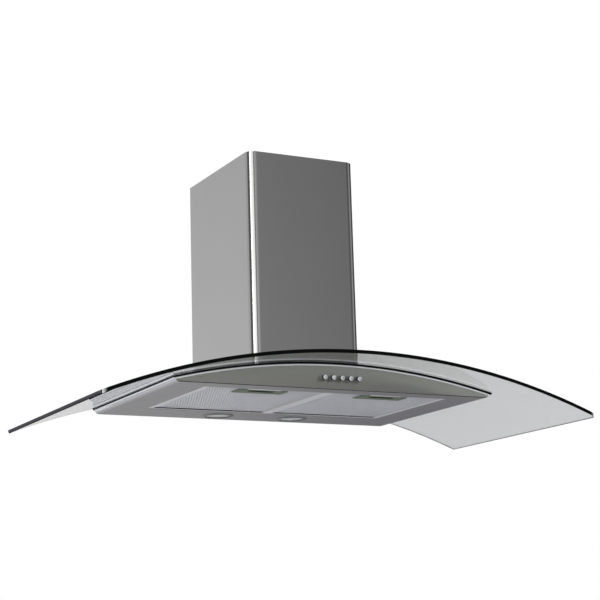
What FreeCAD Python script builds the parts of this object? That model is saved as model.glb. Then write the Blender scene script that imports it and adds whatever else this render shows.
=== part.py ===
import FreeCAD, Part
import math
import os

# Wall-hung range hood: a steel tray under a curved glass canopy, with a telescopic chimney.
# Millimetres. +X right, +Y towards the wall (the wall is the plane y = 0), +Z up.
# The origin is midway between the two wall screw holes. Heights named below are measured
# from the flat underside of the tray, and at() turns them into Z.

# ---- driving dimensions -------------------------------------------------------------------

running_gap = 0.3            # least gap between pieces that move past each other
pin_clearance = 0.05         # radial clearance of a pin or shaft in its bore
seat_gap = 0.2               # gap where a piece stands on the curved glass

glass_width = 900.0
glass_depth = 456.0          # wall to front edge
glass_wall_gap = 2.0
glass_thickness = 6.0
glass_radius = 1225.0        # underside of the glass
glass_corner_radius = 12.0
glass_crown = 44.5           # height of the glass underside at mid width

gasket_thickness = 2.4
gasket_width = 12.0

body_top_width = 590.0
body_bottom_width = 575.0
body_depth = 366.0           # wall to the face of the fascia
body_sheet = 1.0
lip_overhang = 1.8           # rim in front of the fascia
rim_thickness = 3.2
rim_width = 14.0
fascia_gap = 0.4             # dark line between the fascia and the underside
flange_width = 10.0
rear_sheet = 1.2

recess_half_width = 228.0    # opening in the underside for the two filters
recess_front = 332.0         # distances from the wall
recess_back = 84.0
ledge_sheet = 1.0
ledge_overlap = 8.0          # ledge frame on top of the underside sheet
ledge_side = 10.0            # visible margins of the ledge frame
ledge_front = 3.0
ledge_back = 4.0
divider_width = 20.0

filter_height = 9.0
filter_side_gap = 1.0
filter_front_gap = 1.0
filter_back_gap = 12.0
filter_recess = 0.6          # filter face above the ledge face
filter_wall = 1.0
filter_lip = 3.0
filter_tab_width = 20.0
filter_tab_offset = 70.0     # either side of the filter's middle
filter_tab_reach = 8.0       # over the rear ledge
filter_tab_thickness = 1.2

mesh_sheet = 0.8
mesh_folds = 12

handle_width = 92.0
handle_depth = 32.0
handle_front_margin = 8.0    # filter's front edge to handle
handle_plate = 0.8
window_width = 46.0          # finger window in the handle
window_margin = 2.0          # front of the handle to the window
finger_depth = 10.0          # finger hole in the latch
cup_width = 62.0
cup_height = 7.0
cup_wall = 0.8
latch_width = 44.0
latch_sheet = 1.2
latch_bar = 5.0
latch_travel = 5.0
latch_upstand = 4.0
tongue_width = 20.0
spring_radius = 1.6
spring_wire = 0.5
spring_turns = 5
spring_room = 8.8            # left for the spring when the latch is drawn

lamp_spacing = 148.0
lamp_from_wall = 42.0
lamp_bezel_radius = 28.0
lamp_opening_radius = 22.0
lamp_hole_radius = 25.0
lamp_bezel_drop = 2.0
lamp_wall = 1.0
lamp_can_height = 12.0
lamp_lens_thickness = 1.5
bulb_radius = 4.5
bulb_length = 16.0

button_count = 5
button_pitch = 16.0
button_height = 18.0
button_radius = 5.0
button_proud = 11.0
button_hole_gap = 0.4
button_travel = 3.0
button_inside = 2.0          # cap length behind the fascia sheet
stem_radius = 3.0
stem_length = 13.0
switch_half_width = 46.0
switch_depth = 23.0
switch_bottom = 5.0
switch_top = 30.0
post_radius = 3.0
post_offset = 42.0

housing_half_width = 86.0
housing_depth = 234.0
housing_sheet = 1.0
housing_bottom = 16.0
housing_top_height = 250.0
notch_side_gap = 3.0         # glass notch around the housing
notch_front_gap = 4.0
wall_plate_sheet = 2.0
wall_plate_bottom = 8.0
wall_hole_height = 200.0
wall_hole_spacing = 120.0
wall_hole_radius = 4.5
lock_hole_spacing = 400.0
lock_hole_height = 11.0
lock_hole_radius = 2.75

deck_sheet = 1.5
deck_web_bottom = 14.0       # edge of the deck that is turned down round the housing
strip_width = 17.0           # seal on each side of the glass notch
clamp_sheet = 1.5
clamp_height = 16.0
clamp_front = 215.0
clamp_back = 45.0
clamp_tab_length = 30.0
clamp_tab_rise = 2.4
screw_radius = 2.0
screw_head_radius = 3.6
screw_head_height = 2.4
screw_setback = 40.0         # screws from the ends of the deck's webs and the clamps

shaft_height = 140.0
blower_back_gap = 9.8        # scroll to the wall plate
blower_side_gap = 34.0       # passage of the scroll to the outside of the housing
impeller_side_gap = 4.0
impeller_ring_width = 11.0
impeller_sheet = 1.5
blade_count = 40
blade_sheet = 0.8
blade_lean = 35.0            # degrees from radial
hub_radius = 12.0
scroll_gap = 7.0             # impeller tip to the start of the scroll
scroll_growth = 8.0          # gain in radius with each quarter turn
scroll_sheet = 1.2
scroll_tongue = 11.0         # tongue ahead of the shaft
scroll_flange = 10.0         # rim of the neck against the lid
inlet_rim = 12.0             # rim of the impeller outside the inlet
shaft_radius = 4.0
motor_radius = 42.0
motor_start = 8.0            # from the middle disc of the impeller
motor_setback = 2.0          # motor's end inside the scroll
motor_cap_radius = 28.0
motor_cap_length = 8.0
spider_sheet = 2.0
spider_ring = 6.0
spider_arm_width = 12.0
spider_arms = 3
capacitor_radius = 14.0
capacitor_bottom = 60.0
capacitor_length = 56.0
capacitor_from_wall = 26.0
clip_sheet = 1.0
clip_height = 14.0

collar_radius = 75.0
collar_wall = 1.5
collar_height = 40.0
collar_flange = 5.0
collar_flange_sheet = 1.2
collar_margin = 0.5          # flange to the front of the lid
shelf_width = 3.0
shelf_thickness = 1.2
damper_height = 18.0         # pin above the housing top
damper_pin_radius = 1.5
knuckle_radius = 3.2
flap_thickness = 0.8
flap_rim_gap = 1.0
flap_root = 4.0              # flap edge from the pin's axis
knuckle_length = 20.0
knuckle_offsets = (10.0, 40.0)

junction_width = 80.0
junction_height = 32.0
junction_from_wall = 8.0
junction_front_gap = 5.5     # terminal box to the flange of the collar
junction_wall = 2.0
junction_lid_thickness = 2.0
gland_radius = 9.0
gland_bore_radius = 4.0
gland_length = 14.0
gland_offset = 20.0          # left of the middle of the terminal box
driver_width = 80.0
driver_depth = 40.0
driver_height = 15.0
driver_from_wall = 62.0
driver_offset = 160.0

chimney_side_room = 18.0     # housing to the outside of the chimney
chimney_front_room = 21.0
chimney_top = 432.0
chimney_sheet = 1.0
chimney_corner_radius = 16.0
chimney_flange = 14.0
telescope_gap = 0.6
telescope_top_gap = 2.0
telescope_foot_gap = 0.5
bracket_sheet = 1.5
bracket_height = 20.0
bracket_drop = 6.0           # bracket below the top of the upper section
bracket_side_gap = 2.0       # to the flanges of the lower section
bracket_ear = 30.0
bracket_hole_spacing = 120.0
bracket_hole_radius = 2.6

# ---- places worked out from them ----------------------------------------------------------

V = FreeCAD.Vector
axis_x = V(1, 0, 0)
axis_y = V(0, 1, 0)
axis_z = V(0, 0, 1)


def at(height):
    """Z of a height above the underside of the tray."""
    return height - wall_hole_height


arc_centre = glass_crown - glass_radius
glass_top_radius = glass_radius + glass_thickness
rim_top_radius = glass_radius - gasket_thickness
rim_low_radius = rim_top_radius - rim_thickness
top_half = body_top_width / 2
bottom_half = body_bottom_width / 2
fascia_back = -body_depth + body_sheet
rim_front = -body_depth - lip_overhang
rim_inner_front = rim_front + rim_width

ledge_low = body_sheet
ledge_top = ledge_low + ledge_sheet
bay_inner = divider_width / 2
bay_outer = recess_half_width - ledge_side
bay_front = -recess_front + ledge_front
bay_back = -recess_back - ledge_back
filter_inner = bay_inner + filter_side_gap
filter_outer = bay_outer - filter_side_gap
filter_middle = (filter_inner + filter_outer) / 2
filter_front = bay_front + filter_front_gap
filter_back = bay_back - filter_back_gap
filter_low = ledge_low + filter_recess
filter_top = filter_low + filter_height
tab_low = ledge_top + running_gap
lip_top = filter_low + handle_plate
handle_front = filter_front + handle_front_margin
handle_back = handle_front + handle_depth
window_front = handle_front + window_margin
window_back = window_front + finger_depth + latch_travel
latch_rear = window_front + finger_depth + latch_bar
cup_front = filter_front + filter_lip
cup_back = latch_rear + latch_travel + spring_room + cup_wall
cup_top = lip_top + cup_height
latch_low = lip_top + running_gap
latch_top = latch_low + latch_sheet

lid_height = housing_top_height - housing_sheet
notch_half_width = housing_half_width + notch_side_gap
notch_front = -housing_depth - notch_front_gap
collar_y = -housing_depth + collar_margin + collar_flange + collar_radius
pin_height = housing_top_height + damper_height
flap_radius = collar_radius - collar_wall - flap_rim_gap
scroll_room = -collar_y - wall_plate_sheet - blower_back_gap - scroll_sheet
scroll_start_radius = (2 * scroll_room - 3 * scroll_growth - scroll_tongue) / 3
scroll_end_radius = scroll_start_radius + 2 * scroll_growth
shaft_y = -wall_plate_sheet - blower_back_gap - scroll_sheet - scroll_start_radius
neck_front = shaft_y - scroll_growth - scroll_end_radius
neck_back = shaft_y - scroll_tongue
scroll_half_width = housing_half_width - blower_side_gap
impeller_radius = scroll_start_radius - scroll_gap
impeller_half_width = scroll_half_width - impeller_side_gap
inlet_radius = impeller_radius - inlet_rim
motor_end = scroll_half_width - motor_setback
chimney_half = housing_half_width + chimney_side_room
chimney_depth = housing_depth + chimney_front_room
upper_half = chimney_half - chimney_sheet - telescope_gap
upper_front = chimney_depth - chimney_sheet - telescope_gap
upper_back = chimney_sheet + telescope_gap
upper_top = chimney_top - telescope_top_gap
glass_top_crown = glass_crown + glass_thickness
junction_front = collar_y + collar_radius + collar_flange + junction_front_gap
junction_y = (junction_front - junction_from_wall) / 2
junction_top = housing_top_height + junction_height


# ---- helpers ------------------------------------------------------------------------------

def box(x0, x1, y0, y1, h0, h1):
    """Block between two corners, with its heights above the underside."""
    return Part.makeBox(x1 - x0, y1 - y0, h1 - h0, V(x0, y0, at(h0)))


def rod(start, direction, radius, length):
    """Round bar from a point (x, y, height) along a direction."""
    x, y, height = start
    return Part.makeCylinder(radius, length, V(x, y, at(height)), direction)


def tube(start, direction, outer, inner, length):
    """Round tube from a point along a direction."""
    return rod(start, direction, outer, length).cut(rod(start, direction, inner, length))


def one_solid(shape):
    """The shape with split faces joined, as a single solid."""
    return shape.removeSplitter().Solids[0]


def union(shapes):
    """Several touching shapes fused into one solid."""
    return one_solid(shapes[0].multiFuse(shapes[1:]))


def minus(shape, cutters):
    """A solid with holes and pockets cut from it."""
    return one_solid(shape.cut(cutters))


def mirrored(shape):
    """The shape on the other side of the middle plane."""
    return shape.mirror(V(0, 0, 0), axis_x)


def group(shapes):
    """Separate solids kept in one node."""
    return Part.makeCompound(shapes)


def polygon(points, direction):
    """Closed flat outline pushed along a direction."""
    wire = Part.makePolygon(points + points[:1])
    return Part.Face(wire).extrude(direction)


def arc_height(radius, x):
    """Height of a surface concentric with the glass, at a distance from mid width."""
    return arc_centre + math.sqrt(radius * radius - x * x)


def arc_edge(radius, x_left, x_right, y):
    """Edge along a surface concentric with the glass."""
    x_mid = (x_left + x_right) / 2
    ends = [V(x, y, at(arc_height(radius, x))) for x in (x_left, x_mid, x_right)]
    return Part.Arc(*ends).toShape()


def closed_profile(low_edge, high_edge, y0, y1):
    """Two edges joined at their ends, pushed from y0 to y1."""
    left = Part.makeLine(low_edge.firstVertex().Point, high_edge.firstVertex().Point)
    right = Part.makeLine(low_edge.lastVertex().Point, high_edge.lastVertex().Point)
    wire = Part.Wire(Part.__sortEdges__([low_edge, right, high_edge, left]))
    return Part.Face(wire).extrude(V(0, y1 - y0, 0))


def curved_band(low_radius, high_radius, x0, x1, y0, y1):
    """Sheet bent like the glass, between two sides parallel to YZ."""
    low = arc_edge(low_radius, x0, x1, y0)
    high = arc_edge(high_radius, x0, x1, y0)
    return closed_profile(low, high, y0, y1)


def below_band(radius, x0, x1, y0, y1, height):
    """Everything between a level and a surface concentric with the glass."""
    low = Part.makeLine(V(x0, y0, at(height)), V(x1, y0, at(height)))
    high = arc_edge(radius, x0, x1, y0)
    return closed_profile(low, high, y0, y1)


def screw(start, direction, grip):
    """Pan-head screw: its head sits before the start point, its shank runs on for the grip."""
    x, y, height = start
    base = V(x, y, at(height))
    shank = Part.makeCylinder(screw_radius, grip, base, direction)
    head = Part.makeCylinder(screw_head_radius, screw_head_height, base, direction * -1)
    return union([head, shank])


def save(name, shape):
    """Write one node."""
    shape.exportStep("parts/" + name + ".step")


# ---- canopy -------------------------------------------------------------------------------

def make_glass_canopy():
    """Bent glass sheet with rounded front corners and a notch for the motor housing."""
    half = glass_width / 2
    inner_half = half * glass_radius / glass_top_radius
    y0 = -glass_depth
    y1 = -glass_wall_gap
    low = arc_edge(glass_radius, -inner_half, inner_half, y0)
    high = arc_edge(glass_top_radius, -half, half, y0)
    sheet = closed_profile(low, high, y0, y1)
    lowest = arc_height(glass_radius, inner_half) - glass_thickness
    highest = glass_top_crown + glass_thickness
    outline = box(-half, half, y0, y1, lowest, highest)
    corners = [e for e in outline.Edges if is_upright(e) and e.CenterOfMass.y < y0 + 1]
    sheet = sheet.common(outline.makeFillet(glass_corner_radius, corners))
    notch = box(-notch_half_width, notch_half_width, notch_front, 1, lowest, highest)
    return minus(sheet, [notch])


def is_upright(edge):
    """True for a straight edge parallel to Z."""
    ends = [v.Point for v in edge.Vertexes]
    return len(ends) == 2 and abs(abs(ends[1].z - ends[0].z) - edge.Length) < 0.001


def ring_band(low_radius, high_radius, half, front, width):
    """Rectangular ring bent like the glass and open around the motor housing."""
    band = curved_band(low_radius, high_radius, -half, half, front, 0)
    inside = box(-half + width, half - width, front + width, -width, -glass_crown, 2 * glass_crown)
    gap = box(-housing_half_width, housing_half_width, -width - 1, 1, -glass_crown, 2 * glass_crown)
    return minus(band, [inside, gap])


def make_rim_frame():
    """Rim that carries the glass, with a lip along the top of the fascia."""
    ring = ring_band(rim_low_radius, rim_top_radius, top_half - wall_run(), rim_front, rim_width)
    lip = curved_band(rim_low_radius, rim_top_radius, -top_half, top_half, rim_front, fascia_back)
    return union([ring, lip])


def wall_run():
    """Width that the slanted side sheet takes at the height of the rim."""
    rise = arc_height(rim_top_radius, top_half)
    run = top_half - bottom_half
    return body_sheet * math.hypot(rise, run) / rise + run * rim_thickness / rise


def make_glass_gasket():
    """Flat seal between the rim and the glass, with two strips on the deck."""
    ring = ring_band(rim_top_radius, glass_radius, top_half - 1, rim_front + 1, gasket_width)
    x0 = notch_half_width
    x1 = notch_half_width + strip_width
    strips = []
    for left, right in ((x0, x1), (-x1, -x0)):
        strip = curved_band(rim_top_radius, glass_radius, left, right,
                            rim_front + gasket_width, -gasket_width + 1)
        strips.append(strip)
    return union([ring] + strips)


def make_front_fascia():
    """Front panel with the button holes and a flange at its top and bottom."""
    low = Part.makeLine(V(-bottom_half, -body_depth, at(fascia_gap)),
                        V(bottom_half, -body_depth, at(fascia_gap)))
    high = arc_edge(rim_low_radius, -fascia_top_half(), fascia_top_half(), -body_depth)
    panel = closed_profile(low, high, -body_depth, fascia_back)
    inner = bottom_half - 2 * flange_width
    top = curved_band(rim_low_radius - body_sheet, rim_low_radius, -inner, inner,
                      fascia_back, fascia_back + flange_width)
    foot = box(-inner, inner, fascia_back, fascia_back + flange_width, body_sheet, 2 * body_sheet)
    holes = []
    for x in button_places():
        start = (x, -body_depth - 1, button_height)
        holes.append(rod(start, axis_y, button_radius + button_hole_gap, body_sheet + 2))
    return minus(union([panel, top, foot]), holes)


def fascia_top_half():
    """Half width of the fascia where it meets the underside of the lip."""
    rise = arc_height(rim_top_radius, top_half)
    return top_half - (top_half - bottom_half) * rim_thickness / rise


def make_underside_panel():
    """Flat underside with the filter opening, lamp holes and slanted sides."""
    front = fascia_back + fascia_gap
    panel = box(-bottom_half, bottom_half, front, 0, 0, body_sheet)
    rise = arc_height(rim_top_radius, top_half)
    run = top_half - bottom_half
    across = body_sheet * math.hypot(rise, run) / rise
    foot = run * body_sheet / rise
    side = polygon([V(bottom_half, front, at(0)),
                    V(top_half, front, at(rise)),
                    V(top_half - across, front, at(rise)),
                    V(bottom_half + foot - across, front, at(body_sheet)),
                    V(bottom_half - across, front, at(body_sheet)),
                    V(bottom_half - across, front, at(0))], V(0, -front, 0))
    opening = box(-recess_half_width, recess_half_width, -recess_front, -recess_back, -1, 2)
    holes = [rod((x, -lamp_from_wall, -1), axis_z, lamp_hole_radius, body_sheet + 2)
             for x in lamp_places()]
    return minus(union([panel, side, mirrored(side)]), [opening] + holes)


def make_rear_panel():
    """Back of the tray, notched around the wall plate, with two locking screw holes."""
    half = bottom_half - flange_width
    panel = below_band(rim_low_radius, -half, half, -rear_sheet, 0, body_sheet)
    notch = box(-housing_half_width, housing_half_width, -rear_sheet - 1, 1,
                wall_plate_bottom, 2 * glass_crown)
    holes = []
    for side in (-1, 1):
        start = (side * lock_hole_spacing / 2, -rear_sheet - 1, lock_hole_height)
        holes.append(rod(start, axis_y, lock_hole_radius, rear_sheet + 2))
    return minus(panel, [notch] + holes)


def make_filter_ledge():
    """Frame behind the filter opening, with the bar that divides the two bays."""
    outer = recess_half_width + ledge_overlap
    plate = box(-outer, outer, -recess_front - ledge_overlap, -recess_back + ledge_overlap,
                ledge_low, ledge_top)
    bay = box(bay_inner, bay_outer, bay_front, bay_back, 0, ledge_top + 1)
    return minus(plate, [bay, mirrored(bay)])


def make_tray_deck():
    """Curved sheet under the glass, with its edge turned down round the motor housing."""
    half = top_half - wall_run() - rim_width
    plate = curved_band(rim_top_radius - deck_sheet, rim_top_radius, -half, half,
                        rim_inner_front, -rim_width)
    web_half = housing_half_width + deck_sheet
    web = below_band(rim_top_radius, -web_half, web_half, -housing_depth - deck_sheet, -rim_width,
                     deck_web_bottom)
    opening = box(-housing_half_width, housing_half_width, -housing_depth, 1,
                  deck_web_bottom - 1, 2 * glass_crown)
    holes = []
    for side in (-1, 1):
        for y in deck_screw_places():
            start = (side * (housing_half_width - 1), y, deck_screw_height())
            holes.append(rod(start, axis_x * side, screw_radius, deck_sheet + 2))
    return minus(union([plate, web]), [opening] + holes)


def deck_screw_height():
    """Height of the screws through the deck's webs and the housing's skirt."""
    return (deck_web_bottom + arc_height(rim_top_radius, housing_half_width)) / 2


def deck_screw_places():
    """Distances along Y of the screws through each web."""
    return (-housing_depth + screw_setback, -screw_setback)


def make_deck_screws():
    """Screws that join the deck to the housing."""
    grip = deck_sheet + housing_sheet + 2
    start_x = housing_half_width + deck_sheet
    right = [screw((start_x, y, deck_screw_height()), axis_x * -1, grip)
             for y in deck_screw_places()]
    return group(right + [mirrored(s) for s in right])


# ---- filters ------------------------------------------------------------------------------

def filter_centre(side):
    """Middle of a filter along X: side is -1 for the left one, 1 for the right one."""
    return side * filter_middle


def make_filter_casing(side):
    """Shallow tray of a filter, with a lip below, two rear tabs and a slot for the latch."""
    middle = filter_centre(side)
    half = (filter_outer - filter_inner) / 2
    x0, x1 = middle - half, middle + half
    block = box(x0, x1, filter_front, filter_back, filter_low, filter_top)
    inside = box(x0 + filter_wall, x1 - filter_wall, filter_front + filter_wall,
                 filter_back - filter_wall, lip_top, filter_top + 1)
    window = box(x0 + filter_lip, x1 - filter_lip, filter_front + filter_lip,
                 filter_back - filter_lip, filter_low - 1, lip_top + 1)
    slot_half = tongue_width / 2 + running_gap
    slot = box(middle - slot_half, middle + slot_half, filter_front - 1, filter_front + filter_wall + 1,
               latch_low - running_gap, latch_top + running_gap)
    tabs = []
    for offset in (-filter_tab_offset, filter_tab_offset):
        left = middle + offset - filter_tab_width / 2
        tabs.append(box(left, left + filter_tab_width, filter_back - filter_wall,
                        bay_back + filter_tab_reach, tab_low, tab_low + filter_tab_thickness))
    return union([minus(block, [inside, window, slot])] + tabs)


def make_filter_mesh(side):
    """Two sheets of grease mesh with folds between them, cut away around the handle's cup."""
    middle = filter_centre(side)
    half = (filter_outer - filter_inner) / 2 - filter_wall
    front = filter_front + filter_wall
    back = filter_back - filter_wall
    pieces = [box(middle - half, middle + half, front, back, low, low + mesh_sheet)
              for low in (lip_top, filter_top - mesh_sheet)]
    pitch = (2 * half - mesh_sheet) / mesh_folds
    for i in range(mesh_folds + 1):
        x = middle - half + i * pitch
        pieces.append(box(x, x + mesh_sheet, front, back, lip_top, filter_top))
    cup = box(middle - cup_width / 2, middle + cup_width / 2, filter_front, cup_back,
              lip_top - 1, filter_top + 1)
    return minus(union(pieces), [cup])


def make_filter_handle(side):
    """Flush pull plate with a finger window and the cup that guides the latch."""
    middle = filter_centre(side)
    plate = box(middle - handle_width / 2, middle + handle_width / 2, handle_front, handle_back,
                filter_low, lip_top)
    floor = box(middle - cup_width / 2, middle + cup_width / 2, cup_front, cup_back,
                filter_low, lip_top)
    cup = box(middle - cup_width / 2, middle + cup_width / 2, cup_front, cup_back, lip_top, cup_top)
    hollow = box(middle - cup_width / 2 + cup_wall, middle + cup_width / 2 - cup_wall,
                 cup_front + cup_wall, cup_back - cup_wall, lip_top, cup_top - cup_wall)
    window = box(middle - window_width / 2, middle + window_width / 2, window_front, window_back,
                 filter_low - 1, lip_top + 1)
    slot_half = tongue_width / 2 + running_gap
    slot = box(middle - slot_half, middle + slot_half, cup_front - 1, cup_front + cup_wall + 1,
               latch_low - running_gap, latch_top + running_gap)
    return minus(union([plate, floor, cup]), [hollow, window, slot])


def make_filter_latch(side):
    """Sliding latch: a plate with a finger hole, a spring seat and a tongue to the front."""
    middle = filter_centre(side)
    half = latch_width / 2
    front = cup_front + cup_wall + running_gap
    back = latch_rear
    plate = box(middle - half, middle + half, front, back, latch_low, latch_top)
    hole = box(middle - half + latch_bar, middle + half - latch_bar, window_front,
               back - latch_bar, latch_low - 1, latch_top + 1)
    seat = box(middle - half, middle + half, back - latch_sheet, back,
               latch_low, latch_top + latch_upstand)
    tongue = box(middle - tongue_width / 2, middle + tongue_width / 2, bay_front + running_gap, front,
                 latch_low, latch_top)
    return minus(union([plate, seat, tongue]), [hole])


def make_latch_spring(side):
    """Coil spring between the latch's seat and the back of the cup."""
    middle = filter_centre(side)
    length = cup_back - cup_wall - latch_rear - spring_wire
    pitch = length / spring_turns
    helix = Part.makeHelix(pitch, length, spring_radius)
    section = Part.Wire(Part.makeCircle(spring_wire / 2, V(spring_radius, 0, 0), axis_y))
    coil = Part.Wire(helix).makePipeShell([section], True, True)
    coil = coil if coil.ShapeType == "Solid" else Part.Solid(Part.Shell(coil.Faces))
    coil.rotate(V(0, 0, 0), axis_x, -90)
    height = (latch_top + latch_top + latch_upstand) / 2
    coil.translate(V(middle, latch_rear + spring_wire / 2, at(height)))
    return coil


# ---- lamps --------------------------------------------------------------------------------

def lamp_places():
    """Distances of the two lamps from mid width."""
    return (-lamp_spacing / 2, lamp_spacing / 2)


def make_lamp_bezel(x):
    """Ring and can that clip the lamp into the underside."""
    y = -lamp_from_wall
    ring = rod((x, y, -lamp_bezel_drop), axis_z, lamp_bezel_radius, lamp_bezel_drop)
    edges = [e for e in ring.Edges if abs(e.CenterOfMass.z - at(-lamp_bezel_drop)) < 0.01]
    ring = ring.makeFillet(lamp_bezel_drop * 0.6, edges)
    can_radius = lamp_hole_radius - running_gap
    can = rod((x, y, -lamp_bezel_drop / 2), axis_z, can_radius, lamp_can_height + lamp_bezel_drop / 2)
    hollow = rod((x, y, 0), axis_z, can_radius - lamp_wall, lamp_can_height - lamp_wall)
    mouth = rod((x, y, -lamp_bezel_drop - 1), axis_z, lamp_opening_radius, lamp_bezel_drop + 2)
    return minus(union([ring, can]), [hollow, mouth])


def make_lamp_lens(x):
    """Glass disc resting on the bezel's inner edge."""
    radius = lamp_hole_radius - running_gap - lamp_wall
    return rod((x, -lamp_from_wall, 0), axis_z, radius, lamp_lens_thickness)


def make_lamp_reflector(x):
    """Bright dish above the lens, with a hole for the bulb."""
    low = lamp_lens_thickness
    outer = lamp_hole_radius - running_gap - lamp_wall
    rise = lamp_can_height - lamp_wall - low
    profile = [(outer, low), (outer, low + lamp_wall), (outer * 0.86, low + rise * 0.62),
               (outer * 0.55, low + rise), (bulb_radius, low + rise),
               (bulb_radius, low + rise - lamp_wall), (outer * 0.5, low + rise - lamp_wall),
               (outer * 0.8, low + rise * 0.5), (outer - lamp_wall, low)]
    points = [V(x + r, -lamp_from_wall, at(h)) for r, h in profile]
    face = Part.Face(Part.makePolygon(points + points[:1]))
    return face.revolve(V(x, -lamp_from_wall, 0), axis_z, 360)


def make_lamp_bulb(x):
    """Capsule bulb lying across the reflector, on a short neck in the can's roof."""
    top = lamp_can_height - lamp_wall
    height = lamp_lens_thickness + bulb_radius / 2 + 1
    radius = bulb_radius / 2
    capsule = rod((x - bulb_length / 2, -lamp_from_wall, height), axis_x, radius, bulb_length)
    neck = rod((x, -lamp_from_wall, height), axis_z, radius, top - height)
    return union([capsule, neck])


# ---- controls -----------------------------------------------------------------------------

def button_places():
    """Distances of the buttons from mid width."""
    first = -button_pitch * (button_count - 1) / 2
    return [first + i * button_pitch for i in range(button_count)]


def button_back():
    """Y of the back of a button's cap."""
    return fascia_back + button_inside


def make_button(x):
    """Push button: a round cap through the fascia and a stem into the switch block."""
    cap_length = button_back() + body_depth + button_proud
    cap = rod((x, -body_depth - button_proud, button_height), axis_y, button_radius, cap_length)
    front = [e for e in cap.Edges if abs(e.CenterOfMass.y + body_depth + button_proud) < 0.01]
    cap = cap.makeFillet(button_radius * 0.16, front)
    stem = rod((x, button_back(), button_height), axis_y, stem_radius, stem_length)
    return union([cap, stem])


def make_switch_block():
    """Switch block behind the fascia, on two posts, with a bore for each stem."""
    front = button_back() + button_travel + running_gap
    block = box(-switch_half_width, switch_half_width, front, front + switch_depth,
                switch_bottom, switch_top)
    bores = []
    for x in button_places():
        depth = stem_length + running_gap
        bores.append(rod((x, front - 1, button_height), axis_y, stem_radius + pin_clearance, depth + 1))
    posts = [rod((x, fascia_back, button_height), axis_y, post_radius, front - fascia_back + 1)
             for x in (-post_offset, post_offset)]
    return union([minus(block, bores)] + posts)


# ---- motor housing and blower -------------------------------------------------------------

def make_wall_plate():
    """Back plate of the housing, with the two holes that hang the hood on the wall."""
    plate = box(-housing_half_width, housing_half_width, -wall_plate_sheet, 0,
                wall_plate_bottom, lid_height)
    holes = []
    for side in (-1, 1):
        start = (side * wall_hole_spacing / 2, -wall_plate_sheet - 1, wall_hole_height)
        holes.append(rod(start, axis_y, wall_hole_radius, wall_plate_sheet + 2))
    return minus(plate, holes)


def make_motor_housing():
    """Front and sides of the housing, open below for the air."""
    outer = box(-housing_half_width, housing_half_width, -housing_depth, -wall_plate_sheet,
                housing_bottom, lid_height)
    inner_half = housing_half_width - housing_sheet
    inside = box(-inner_half, inner_half, -housing_depth + housing_sheet, 1,
                 housing_bottom - 1, lid_height + 1)
    holes = []
    for side in (-1, 1):
        for y in deck_screw_places():
            start = (side * (housing_half_width + 1), y, deck_screw_height())
            holes.append(rod(start, axis_x * -side, screw_radius, housing_sheet + 2))
        for y in clamp_screw_places():
            start = (side * (housing_half_width + 1), y, clamp_screw_height())
            holes.append(rod(start, axis_x * -side, screw_radius, housing_sheet + 2))
    return minus(outer, [inside] + holes)


def make_housing_top():
    """Lid of the housing with the hole for the duct collar."""
    lid = box(-housing_half_width, housing_half_width, -housing_depth, 0,
              lid_height, housing_top_height)
    hole = rod((0, collar_y, lid_height - 1), axis_z, collar_radius - collar_wall,
               housing_sheet + 2)
    return minus(lid, [hole])


def clamp_screw_places():
    """Distances along Y of the screws through each glass clamp."""
    return (-clamp_front + screw_setback, -clamp_back - screw_setback)


def clamp_screw_height():
    """Height of the screws through the glass clamps."""
    return glass_top_crown + clamp_height * 0.6


def make_glass_clamps():
    """Two angles that hold the glass down and locate the foot of the chimney."""
    inner = housing_half_width
    outer = chimney_half - chimney_sheet
    low_radius = glass_top_radius
    foot = curved_band(low_radius, low_radius + clamp_sheet, inner, outer - chimney_flange,
                       -clamp_front, -clamp_back)
    leg = box(inner, inner + clamp_sheet, -clamp_front, -clamp_back,
              arc_height(low_radius, inner), glass_top_crown + clamp_height)
    middle = -(clamp_front + clamp_back) / 2
    reach = curved_band(low_radius, low_radius + clamp_sheet, inner, outer,
                        middle - clamp_tab_length / 2, middle + clamp_tab_length / 2)
    tab_low_end = arc_height(low_radius, outer)
    tab = box(outer - clamp_sheet, outer, middle - clamp_tab_length / 2, middle + clamp_tab_length / 2,
              tab_low_end + clamp_sheet / 2, tab_low_end + clamp_sheet + clamp_tab_rise)
    under = below_band(low_radius, inner - 1, outer + 1, -clamp_front - 1, -clamp_back + 1, 0)
    holes = [rod((inner - 1, y, clamp_screw_height()), axis_x, screw_radius, clamp_sheet + 2)
             for y in clamp_screw_places()]
    clamp = minus(union([foot, leg, reach, tab]), [under] + holes)
    return group([clamp, mirrored(clamp)])


def make_clamp_screws():
    """Screws that join the glass clamps to the housing."""
    grip = clamp_sheet + housing_sheet + 2
    right = [screw((housing_half_width + clamp_sheet, y, clamp_screw_height()), axis_x * -1, grip)
             for y in clamp_screw_places()]
    return group(right + [mirrored(s) for s in right])


def spiral_block(grow, half, neck_top):
    """Flow passage of the scroll, grown outwards by a wall, centred on mid width."""
    step = scroll_growth
    radii = [scroll_start_radius + grow + i * step for i in range(3)]
    centres = [(0, 0), (-step, 0), (-step, step)]
    base = at(shaft_height)

    def point(centre, radius, degrees):
        angle = math.radians(degrees)
        a = centre[0] + radius * math.cos(angle)
        b = centre[1] + radius * math.sin(angle)
        return V(-half, shaft_y + a, base + b)

    edges = []
    for i, start in enumerate((90, 0, -90)):
        ends = [point(centres[i], radii[i], start - turn) for turn in (0, 45, 90)]
        edges.append(Part.Arc(*ends).toShape())
    top = at(neck_top)
    start = edges[0].firstVertex().Point
    end = edges[-1].lastVertex().Point
    tongue = V(-half, neck_back + grow, start.z)
    corners = [end, V(-half, end.y, top), V(-half, tongue.y, top), tongue, start]
    edges += [Part.makeLine(a, b) for a, b in zip(corners, corners[1:])]
    wire = Part.Wire(Part.__sortEdges__(edges))
    return Part.Face(wire).extrude(V(2 * half, 0, 0))


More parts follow.
